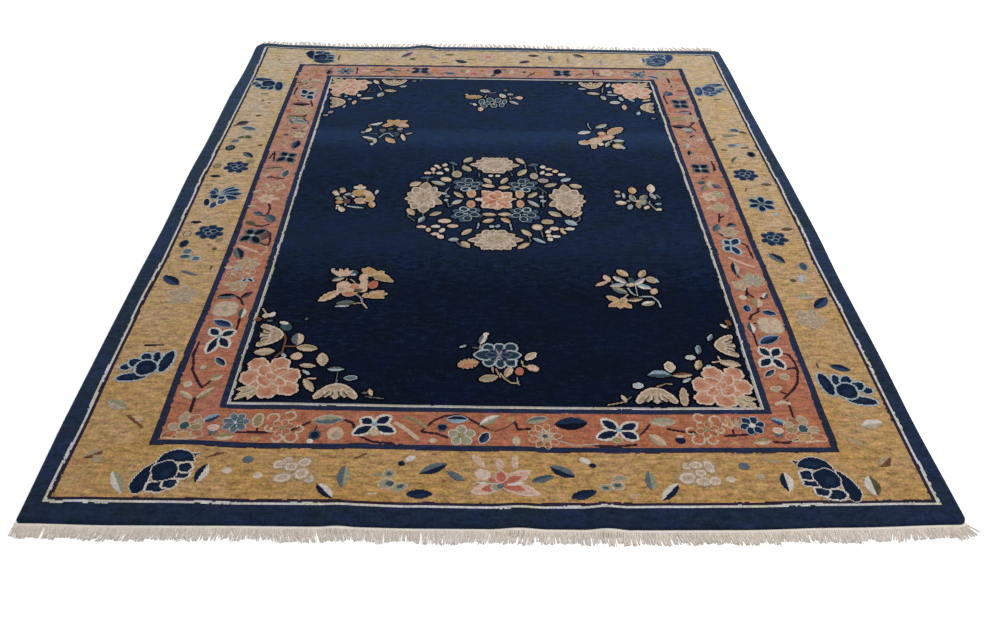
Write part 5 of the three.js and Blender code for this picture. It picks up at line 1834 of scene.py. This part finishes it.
def warp_ends(row, path, outward):
    """Rings of the loose threads of one fringe: they leave the strip in locks and settle on the floor."""
    random = np.random.default_rng(row["seed"])
    root, out, sideways, place, own_numbers = thread_roots(row, path, outward, random)
    lean, length, splay = thread_habits(row, root[:, 0], own_numbers, random)
    count = len(root)

    share = np.clip(THREAD_STATIONS, 0, 1)[None, :]
    reach = STRIP_GAP + STRIP_WIDTH + np.where(share > 0, share * length[:, None], -ROOT_INSIDE)
    sway = (np.tan(lean) * length)[:, None] * share ** 1.5 + (place * (splay - 1))[:, None] * share
    phase, turns = random.uniform(0, 2 * np.pi, (2, count, 1))
    sway = sway + WAVER * share * np.sin(phase + (WAVER_TURNS + turns) * share)
    rise = (lift(root[:, 0], root[:, 1]) + ROOT_RISE)[:, None]
    fall = np.clip(share / SETTLED_AT, 0, 1)
    layer = random.random((count, 1)) * (LOCK_THICKNESS - 2 * YARN_RADIUS) * (0.4 + fall - 0.8 * share)
    up = YARN_RADIUS + rise * (1 - fall * fall * (3 - 2 * fall)) + layer
    centre = root[:, None] + out[:, None] * reach[..., None] + sideways[:, None] * sway[..., None]

    turn = 2 * np.pi * (np.arange(THREAD_SIDES) + 0.5) / THREAD_SIDES
    radius = (YARN_RADIUS * (1 - TAPER * share ** 2))[..., None]
    across = radius * np.cos(turn) * np.sqrt(2)
    flat = centre[:, :, None] + sideways[:, None, None] * across[..., None]
    height = np.maximum(up[..., None] + radius * np.sin(turn) * np.sqrt(2), FLOOR_CLEARANCE)
    return np.concatenate([flat, height[..., None]], -1)


def thread_tiles(thread_map, thread, count):
    """Bake map of the threads: a tile for each, row by row."""
    tile_rows = math.ceil(count / TILE_COLUMNS)
    tile = np.stack([thread % TILE_COLUMNS, thread // TILE_COLUMNS], -1)[:, None]
    inner = tile + TILE_MARGIN + (1 - 2 * TILE_MARGIN) * thread_map
    return inner / [TILE_COLUMNS, tile_rows / TILES_HEIGHT]


def yarn_places(row, path, thread_count):
    """For the materials: how far along its strip or thread a point lies, its side and its thread's number."""
    run = run_along(path)
    strip = np.stack(np.broadcast_arrays(run[:, None], np.arange(STRIP_SIDES)[None, :], 0), -1)
    along = np.clip(THREAD_STATIONS, 0, 1) * row["length"]
    number = np.arange(thread_count)
    threads = np.broadcast_arrays(along[None, :, None], np.arange(THREAD_SIDES), number[:, None, None])
    return np.concatenate([strip.reshape(-1, 3), np.stack(threads, -1).reshape(-1, 3)])


def fringe(row):
    """One fringe: its woven strip and its threads in one mesh. The strip takes the first material."""
    path, outward = end_path(row["end"])
    strip = woven_strip(path, outward)
    threads = warp_ends(row, path, outward)
    strip_quads, strip_map = tube_quads(*strip.shape[:3], row["end"] < 0)
    thread_quads, thread_map = tube_quads(*threads.shape[:3], row["end"] > 0)
    points = np.concatenate([strip.reshape(-1, 3), threads.reshape(-1, 3)])
    quads = np.concatenate([strip_quads, thread_quads + strip[..., 0].size])
    piece = make_mesh(row["name"] + "_cotton", points, quads)
    kinds = np.repeat([0, 1], [len(strip_quads), len(thread_quads)])
    piece.data.polygons.foreach_set("material_index", kinds.astype(np.int32))

    thread = thread_quads[:, 0] // threads[0, ..., 0].size
    thread_map = thread_tiles(thread_map, thread, len(threads))
    strip_map = map_area(strip_map[..., 1], strip_map[..., 0], *STRIP_AREA)
    add_bake_map(piece, np.concatenate([strip_map, thread_map]))
    add_attribute(piece, "yarn", "FLOAT_VECTOR", "POINT", yarn_places(row, path, len(threads)))
    return piece


# Materials


# Where most values of a noise lie
NOISE_SPAN = (0.3, 0.7)


class Shader:
    """A short way to write a material's nodes."""

    def __init__(self, name):
        self.material = bpy.data.materials.new(name)
        self.material.use_nodes = True
        self.nodes = self.material.node_tree.nodes
        self.surface = self.nodes["Principled BSDF"]

    def link(self, source, target):
        self.material.node_tree.links.new(source, target)

    def feed(self, target, value):
        if isinstance(value, bpy.types.NodeSocket):
            self.link(value, target)
        elif value is not None:
            target.default_value = value

    def math(self, operation, first, second=None, third=None):
        node = self.nodes.new("ShaderNodeMath")
        node.operation = operation
        for socket, value in zip(node.inputs, (first, second, third)):
            self.feed(socket, value)
        return node.outputs[0]

    def attribute(self, name, output="Vector"):
        node = self.nodes.new("ShaderNodeAttribute")
        node.attribute_name = name
        return node.outputs[output]

    def noise(self, vector, scale, detail):
        node = self.nodes.new("ShaderNodeTexNoise")
        node.inputs["Scale"].default_value = scale
        node.inputs["Detail"].default_value = detail
        self.link(vector, node.inputs["Vector"])
        return node.outputs["Fac"]

    def noise_along(self, vector, across, along, detail):
        """Noise with a scale of its own across the rug and along it."""
        return self.noise(self.stretch(vector, across, along), 1, detail)

    def knot_noise(self, vector):
        node = self.nodes.new("ShaderNodeTexWhiteNoise")
        self.link(vector, node.inputs["Vector"])
        return node.outputs["Value"]

    def stretch(self, vector, x, y, z=1.0):
        node = self.nodes.new("ShaderNodeVectorMath")
        node.operation = "MULTIPLY"
        self.link(vector, node.inputs[0])
        node.inputs[1].default_value = (x, y, z)
        return node.outputs[0]

    def span(self, value, low, high, to_low=0.0, to_high=1.0):
        node = self.nodes.new("ShaderNodeMapRange")
        for key, number in (("From Min", low), ("From Max", high), ("To Min", to_low), ("To Max", to_high)):
            node.inputs[key].default_value = number
        self.link(value, node.inputs["Value"])
        return node.outputs["Result"]

    def swing(self, noise, reach):
        """A noise as a number that swings about zero."""
        return self.span(noise, *NOISE_SPAN, -reach, reach)

    def mix(self, factor, first, second, blend="MIX"):
        node = self.nodes.new("ShaderNodeMix")
        node.data_type = "RGBA"
        node.blend_type = blend
        self.feed(node.inputs["Factor"], factor)
        for key, value in (("A", first), ("B", second)):
            self.feed(next(s for s in node.inputs if s.name == key and s.type == "RGBA"), value)
        return next(s for s in node.outputs if s.type == "RGBA")

    def bands(self, value, stops):
        """A ramp of flat bands. Each stop starts a colour at a share of the way."""
        node = self.nodes.new("ShaderNodeValToRGB")
        ramp = node.color_ramp
        ramp.interpolation = "CONSTANT"
        for k, (place, colour) in enumerate(stops):
            element = ramp.elements[k] if k < 2 else ramp.elements.new(place)
            element.position = place
            element.color = colour
        self.link(value, node.inputs["Fac"])
        return node.outputs["Color"]

    def curve(self, value, stops):
        """A smooth ramp of numbers."""
        node = self.nodes.new("ShaderNodeValToRGB")
        ramp = node.color_ramp
        for k, (place, strength) in enumerate(stops):
            element = ramp.elements[k] if k < 2 else ramp.elements.new(place)
            element.position = place
            element.color = (strength, strength, strength, 1)
        self.link(value, node.inputs["Fac"])
        return node.outputs["Color"]

    def mix_value(self, factor, first, second):
        node = self.nodes.new("ShaderNodeMix")
        for key, value in (("Factor", factor), ("A", first), ("B", second)):
            self.feed(next(s for s in node.inputs if s.name == key and s.type == "VALUE"), value)
        return node.outputs[0]

    def bump(self, height, distance, strength):
        node = self.nodes.new("ShaderNodeBump")
        node.inputs["Distance"].default_value = distance
        node.inputs["Strength"].default_value = strength
        self.link(height, node.inputs["Height"])
        return node.outputs["Normal"]

    def multiply(self, first, second):
        """One colour times another."""
        return self.mix(1.0, first, second, "MULTIPLY")

    def combine(self, x, y):
        node = self.nodes.new("ShaderNodeCombineXYZ")
        self.link(x, node.inputs[0])
        self.link(y, node.inputs[1])
        return node.outputs[0]

    def separate(self, vector):
        node = self.nodes.new("ShaderNodeSeparateXYZ")
        self.link(vector, node.inputs[0])
        return node.outputs[0], node.outputs[1]


def linear(red, green, blue):
    """A shader colour from screen values of 0 to 255."""
    def channel(value):
        share = value / 255
        return share / 12.92 if share <= 0.04045 else ((share + 0.055) / 1.055) ** 2.4
    return (channel(red), channel(green), channel(blue), 1.0)


# Ground dyes: each band's darker and lighter wool, between which it wanders, and its glow at a low angle
OUTER_NAVY = (linear(12, 18, 33), linear(24, 34, 55), (0.16, 0.26, 0.42, 1))
FIELD_NAVY = (linear(8, 12, 26), linear(34, 52, 82), (0.03, 0.06, 0.13, 1))
LINE_NAVY = (linear(18, 22, 40), linear(32, 38, 60), (0.05, 0.10, 0.20, 1))
DARK_LINE = (linear(26, 20, 32), linear(40, 32, 46), (0.05, 0.08, 0.14, 1))
GUARD_WHITE = (linear(128, 129, 130), linear(172, 172, 172), (0.44, 0.46, 0.48, 1))
CREAM_LINE = (linear(128, 126, 124), linear(172, 169, 165), (0.44, 0.45, 0.46, 1))
GOLD = (linear(80, 58, 31), linear(162, 126, 76), (1.12, 1.28, 1.26, 1))
RUST = (linear(84, 46, 34), linear(150, 89, 62), (0.82, 0.9, 0.95, 1))

# The dyes' hues wander between these tints
WARMER = (1.06, 0.96, 0.99, 1)
GREENER = (0.96, 1.02, 0.84, 1)
YELLOWER = (0.98, 0.94, 0.82, 1)
PALER = (1.0, 1.02, 1.16, 1)
# Strength of the lighter wool along the rug, where the dye lots changed
ABRASH = [
    (-1750, 0.2), (-1300, 0.0), (-650, 0.0), (-300, 0.22), (150, 0.12), (470, 0.22), (575, 0.5), (640, 0.52),
    (700, 0.28), (1000, 0.3), (1300, 0.25), (1750, 0.3),
]


SHEEN_WEIGHT = 1.0
SHEEN_ROUGHNESS = 0.4
FIBRE_SCALE = 420
FIBRE_DEPTH = 0.0012
FIBRE_STRENGTH = 0.7


def wool_surface(shader, place, dye, glow):
    """Matt cut wool with fine fibres, and at a low angle the glow of its fibre tips in their own dye."""
    shader.link(dye, shader.surface.inputs["Base Color"])
    shader.surface.inputs["Roughness"].default_value = 1.0
    shader.surface.inputs["Specular IOR Level"].default_value = 0.0
    shader.surface.inputs["Sheen Weight"].default_value = SHEEN_WEIGHT
    shader.surface.inputs["Sheen Roughness"].default_value = SHEEN_ROUGHNESS
    shader.link(glow, shader.surface.inputs["Sheen Tint"])
    fibres = shader.bump(shader.noise(place, FIBRE_SCALE, 3), FIBRE_DEPTH, FIBRE_STRENGTH)
    shader.link(fibres, shader.surface.inputs["Normal"])


# Half the width of a pale line, the dark line after the gold, and the depth of the ramps of bands
HALF_GUARD = 4.5
HALF_CREAM = 5
DARK_AFTER_GOLD = 5
RAMP_DEPTH = 500
# The pile's noises: scale across the rug, scale along it and detail
WEAVING_ROWS = (16, 100, 4)
BLOTCHES = (100, 100, 4)
CLUMPS = (28, 45, 3)
HUES = (24, 60, 3)
DRIFTS = (7, 7, 3)
DYE_LOTS = (0.6, 7, 2)
# How far the first three take the wool between its darker and its lighter dye
ROW_SWING = 0.2
BLOTCH_SWING = 0.24
CLUMP_SWING = 0.24
HUE_SPAN = (0.38, 0.62)
DRIFT_SPAN = (0.35, 0.65)
FIELD_SWINGS = (0.1, 0.6)
BORDER_LIGHTNESS = 0.55
SPECKS = (0.8, 1.2)
GLOW_SWINGS = (-0.4, 0.4, 0.65, 1.35)
# The drawn lines waver: scale of the noise and reach in metres, and more so near the left edge
WAVERS = [(8, 0.005), (50, 0.002)]
LEFT_WAVER = 2.2
LEFT_WAVER_WIDTH = 60


def band_dyes(shader, share, which):
    """The dye of each band across its depth."""
    stops = [
        (0, OUTER_NAVY), (GUARD_LINE - HALF_GUARD, GUARD_WHITE), (GUARD_LINE + HALF_GUARD, DARK_LINE),
        (GOLD_START, GOLD), (GOLD_END, DARK_LINE), (GOLD_END + DARK_AFTER_GOLD, LINE_NAVY),
        (RUST_START, RUST), (RUST_END, LINE_NAVY), (INNER_LINE - HALF_CREAM, CREAM_LINE),
        (INNER_LINE + HALF_CREAM, FIELD_NAVY),
    ]
    return shader.bands(share, [(place / RAMP_DEPTH, dyes[which]) for place, dyes in stops])


def knot_depth(shader, u, knot_u, knot_v, knots):
    """How far in from the edge a knot lies, with the wavering of the drawn lines."""
    depth_u = shader.math("SUBTRACT", HALF_WIDTH * MM, shader.math("ABSOLUTE", knot_u))
    depth_v = shader.math("SUBTRACT", HALF_LENGTH * MM, shader.math("ABSOLUTE", knot_v))
    depth = shader.math("MINIMUM", depth_u, depth_v)
    unsteady = shader.span(u, -HALF_WIDTH * MM, (LEFT_WAVER_WIDTH - HALF_WIDTH) * MM, LEFT_WAVER, 1)
    for scale, reach in WAVERS:
        waver = shader.span(shader.noise(knots, scale, 2), 0, 1, -reach, reach)
        depth = shader.math("MULTIPLY_ADD", waver, unsteady, depth)
    return depth


def pile_material():
    """The ground wool in its bands. Its lightness and hue wander from knot to knot and from lot to lot."""
    shader = Shader("wool_pile")
    chart = shader.attribute("chart")
    u, v = shader.separate(chart)
    knot_u = shader.math("SNAP", u, KNOT * MM)
    knot_v = shader.math("SNAP", v, KNOT * MM)
    knots = shader.combine(knot_u, knot_v)
    depth = knot_depth(shader, u, knot_u, knot_v, knots)
    share = shader.math("DIVIDE", depth, RAMP_DEPTH * MM)

    rows = shader.swing(shader.noise_along(knots, *WEAVING_ROWS), ROW_SWING)
    blotches = shader.swing(shader.noise_along(knots, *BLOTCHES), BLOTCH_SWING)
    clumps = shader.swing(shader.noise_along(knots, *CLUMPS), CLUMP_SWING)
    hues = shader.span(shader.noise_along(knots, *HUES), *HUE_SPAN)
    drifts = shader.span(shader.noise_along(knots, *DRIFTS), *DRIFT_SPAN)
    lots = shader.noise_along(knots, *DYE_LOTS)
    along = shader.span(v, -HALF_LENGTH * MM, HALF_LENGTH * MM)
    abrash = shader.curve(along, [(0.5 + place / 2 / HALF_LENGTH, strength) for place, strength in ABRASH])
    inner = shader.math("GREATER_THAN", depth, INNER_LINE * MM)
    base = shader.mix_value(inner, BORDER_LIGHTNESS, abrash)
    drift = shader.mix_value(inner, 1.0, shader.span(lots, *NOISE_SPAN, *FIELD_SWINGS))
    wander = shader.math("ADD", clumps, shader.math("ADD", rows, blotches))
    wander = shader.math("MULTIPLY", wander, drift)
    lightness = shader.math("ADD", base, wander)

    dye = shader.mix(lightness, band_dyes(shader, share, 0), band_dyes(shader, share, 1))
    speck = shader.span(shader.knot_noise(knots), 0, 1, *SPECKS)
    tint = shader.multiply(shader.mix(hues, WARMER, GREENER), shader.mix(drifts, YELLOWER, PALER))
    dye = shader.multiply(shader.multiply(dye, tint), speck)
    glow = shader.multiply(band_dyes(shader, share, 2), tint)
    glow = shader.multiply(glow, shader.span(wander, *GLOW_SWINGS))
    wool_surface(shader, chart, dye, glow)
    return shader.material


PATCH_SCALE = 70
PATCHES = (0.8, 1.15)
KNOT_GLOW_GAMMA = 0.7


def knot_material():
    """The dyed knots: each face has its dye, in patches a little lighter or darker."""
    shader = Shader("dyed_knots")
    place = shader.attribute("place")
    dye = shader.attribute("dye", "Color")
    patches = shader.span(shader.noise(place, PATCH_SCALE, 3), *NOISE_SPAN, *PATCHES)
    glow = shader.nodes.new("ShaderNodeGamma")
    shader.link(dye, glow.inputs["Color"])
    glow.inputs["Gamma"].default_value = KNOT_GLOW_GAMMA
    wool_surface(shader, place, shader.multiply(dye, patches), glow.outputs["Color"])
    return shader.material


COTTON = linear(214, 202, 190)
STRIP_COTTON = linear(206, 198, 188)
# Pitches of the strip's warp and of a thread's plies in mm, and the depths of both in metres
WARP_PITCH = 1.8
WARP_DEPTH = 0.0003
PLY_PITCH = 2.6
PLY_DEPTH = 0.0004
YARN_STRENGTH = 0.8
WEAR_SCALE = 0.02
WEAR = (0.9, 1.05)
THREAD_TONES = (0.78, 1.08)
# How dark the painted shade between the plies gets, as shares of the colour
PLY_SHADE_TONES = (0.82, 1.0)


def cotton_surface(shader, colour, height, distance):
    """Undyed cotton: uneven off-white, matt, with a yarn's relief."""
    shader.link(colour, shader.surface.inputs["Base Color"])
    shader.link(shader.bump(height, distance, YARN_STRENGTH), shader.surface.inputs["Normal"])
    shader.surface.inputs["Roughness"].default_value = 0.9
    shader.surface.inputs["Specular IOR Level"].default_value = 0.1
    return shader.material


def strip_material():
    """Plain weave: weft ribs along the strip and a fine warp across it."""
    shader = Shader("woven_cotton")
    yarn = shader.attribute("yarn")
    run, around = shader.separate(yarn)
    warp = shader.math("SINE", shader.math("MULTIPLY", run, 2 * math.pi / WARP_PITCH))
    weft = shader.math("SINE", shader.math("MULTIPLY", around, 2 * math.pi))
    relief = shader.math("MULTIPLY_ADD", weft, 0.5, warp)
    wear = shader.span(shader.noise(yarn, WEAR_SCALE, 2), *NOISE_SPAN, *WEAR)
    return cotton_surface(shader, shader.multiply(STRIP_COTTON, wear), relief, WARP_DEPTH)


def thread_material():
    """Plied yarn: each thread has its own tone, and its plies wind round it, with painted shade darker where
    they dip.
    """
    shader = Shader("cotton_yarn")
    yarn = shader.attribute("yarn")
    run, around = shader.separate(yarn)
    along = shader.math("MULTIPLY", run, 2 * math.pi / PLY_PITCH)
    plies = shader.math("SINE", shader.math("MULTIPLY_ADD", around, math.pi, along))
    tone = shader.span(shader.knot_noise(shader.stretch(yarn, 0, 0)), 0, 1, *THREAD_TONES)
    # Painted shade: the colour darkens where the plies dip
    ply_shade = shader.span(plies, -1, 1, *PLY_SHADE_TONES)
    colour = shader.multiply(shader.multiply(COTTON, tone), ply_shade)
    return cotton_surface(shader, colour, plies, PLY_DEPTH)


# The stage

# The camera in millimetres and degrees, its focal length as a share of the sensor's width
CAMERA_PLACE = (-68.4, -3372.4, 2095.0)
CAMERA_YAW = 1.496
CAMERA_PITCH = 38.986
CAMERA_ROLL = 1.273
FOCAL_SHARE = 0.8907
SENSOR_WIDTH = 36
SHIFT_ACROSS = 0.0068
# The floor and the lights in metres and watts. A light has a name, place, target, size and power.
FLOOR_REACH = 30
FLOOR_HEIGHT = -0.0004
FLOOR_COLOUR = (0.9, 0.9, 0.9, 1)
SKY_STRENGTH = 0.8
LIGHTS = [
    ("key", (1.6, -1.2, 4.5), (0, 0.4, 0), (4, 4), 160),
    ("back", (1.8, 4.2, 3.5), (0.3, 0.6, 0), (5, 3), 150),
]


def photo_camera():
    """The photograph's viewpoint, solved from the rug's four corners."""
    yaw, pitch, roll = (math.radians(a) for a in (CAMERA_YAW, CAMERA_PITCH, CAMERA_ROLL))
    forward = Vector((math.sin(yaw) * math.cos(pitch), math.cos(yaw) * math.cos(pitch), -math.sin(pitch)))
    level = forward.cross(Vector((0, 0, 1))).normalized()
    upright = level.cross(forward)
    right = math.cos(roll) * level + math.sin(roll) * upright
    up = math.cos(roll) * upright - math.sin(roll) * level
    camera = bpy.data.objects.new("camera", bpy.data.cameras.new("camera"))
    camera.matrix_world = Matrix((right, up, -forward)).transposed().to_4x4()
    camera.location = Vector(tuple((np.array(CAMERA_PLACE) + SHIFT) * MM))
    camera.data.sensor_width = SENSOR_WIDTH
    camera.data.lens = FOCAL_SHARE * SENSOR_WIDTH
    camera.data.shift_x = SHIFT_ACROSS
    camera.data.clip_end = 100
    bpy.context.scene.collection.objects.link(camera)
    bpy.context.scene.camera = camera


def floor():
    """A wide pale floor, just below the rug so that the two don't meet."""
    mesh = bpy.data.meshes.new("floor")
    sides = [(-1, -1), (1, -1), (1, 1), (-1, 1)]
    corners = [(x * FLOOR_REACH, y * FLOOR_REACH, FLOOR_HEIGHT) for x, y in sides]
    mesh.from_pydata(corners, [], [(0, 1, 2, 3)])
    ground = bpy.data.objects.new("floor", mesh)
    bpy.context.scene.collection.objects.link(ground)
    shader = Shader("pale_floor")
    shader.surface.inputs["Base Color"].default_value = FLOOR_COLOUR
    shader.surface.inputs["Roughness"].default_value = 0.9
    shader.surface.inputs["Specular IOR Level"].default_value = 0.1
    mesh.materials.append(shader.material)


def area_light(name, place, target, size, power):
    light = bpy.data.objects.new(name, bpy.data.lights.new(name, "AREA"))
    light.data.shape = "RECTANGLE"
    light.data.size, light.data.size_y = size
    light.data.energy = power
    light.location = place
    light.rotation_euler = (Vector(target) - Vector(place)).to_track_quat("-Z", "Y").to_euler()
    bpy.context.scene.collection.objects.link(light)


def studio():
    """A white sky and two wide lights, as in a photographer's studio."""
    world = bpy.data.worlds.new("studio")
    world.use_nodes = True
    sky = world.node_tree.nodes["Background"]
    sky.inputs["Color"].default_value = (1, 1, 1, 1)
    sky.inputs["Strength"].default_value = SKY_STRENGTH
    bpy.context.scene.world = world
    for light in LIGHTS:
        area_light(*light)
    bpy.context.scene.view_settings.view_transform = "Standard"


photo_camera()
studio()
floor()
pile = rug_pile()
pile.data.materials.append(pile_material())
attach(pile, "root")
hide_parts("rug_cloth")

knot_dyes = knot_material()
inlays = [
    knot_inlay("knots_of_gold_border", DEPTH <= BETWEEN_BORDERS, border_map(0, BETWEEN_BORDERS)),
    knot_inlay(
        "knots_of_rust_border", (DEPTH > BETWEEN_BORDERS) & (DEPTH <= INNER_LINE),
        border_map(BETWEEN_BORDERS, INNER_LINE),
    ),
    knot_inlay(
        "knots_of_field", (DEPTH > INNER_LINE) & ~IN_MEDALLION,
        plan_map(0, 0, HALF_WIDTH - INNER_LINE, HALF_LENGTH - INNER_LINE),
    ),
    knot_inlay(
        "knots_of_medallion", IN_MEDALLION, plan_map(*MEDALLION_PLACE, MEDALLION_REACH, MEDALLION_REACH),
    ),
]
for inlay in inlays:
    inlay.data.materials.append(knot_dyes)
    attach(inlay, "root")

cottons = [strip_material(), thread_material()]
for row in FRINGES:
    warp = fringe(row)
    for material in cottons:
        warp.data.materials.append(material)
    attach(warp, "root")
    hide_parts(row["name"])
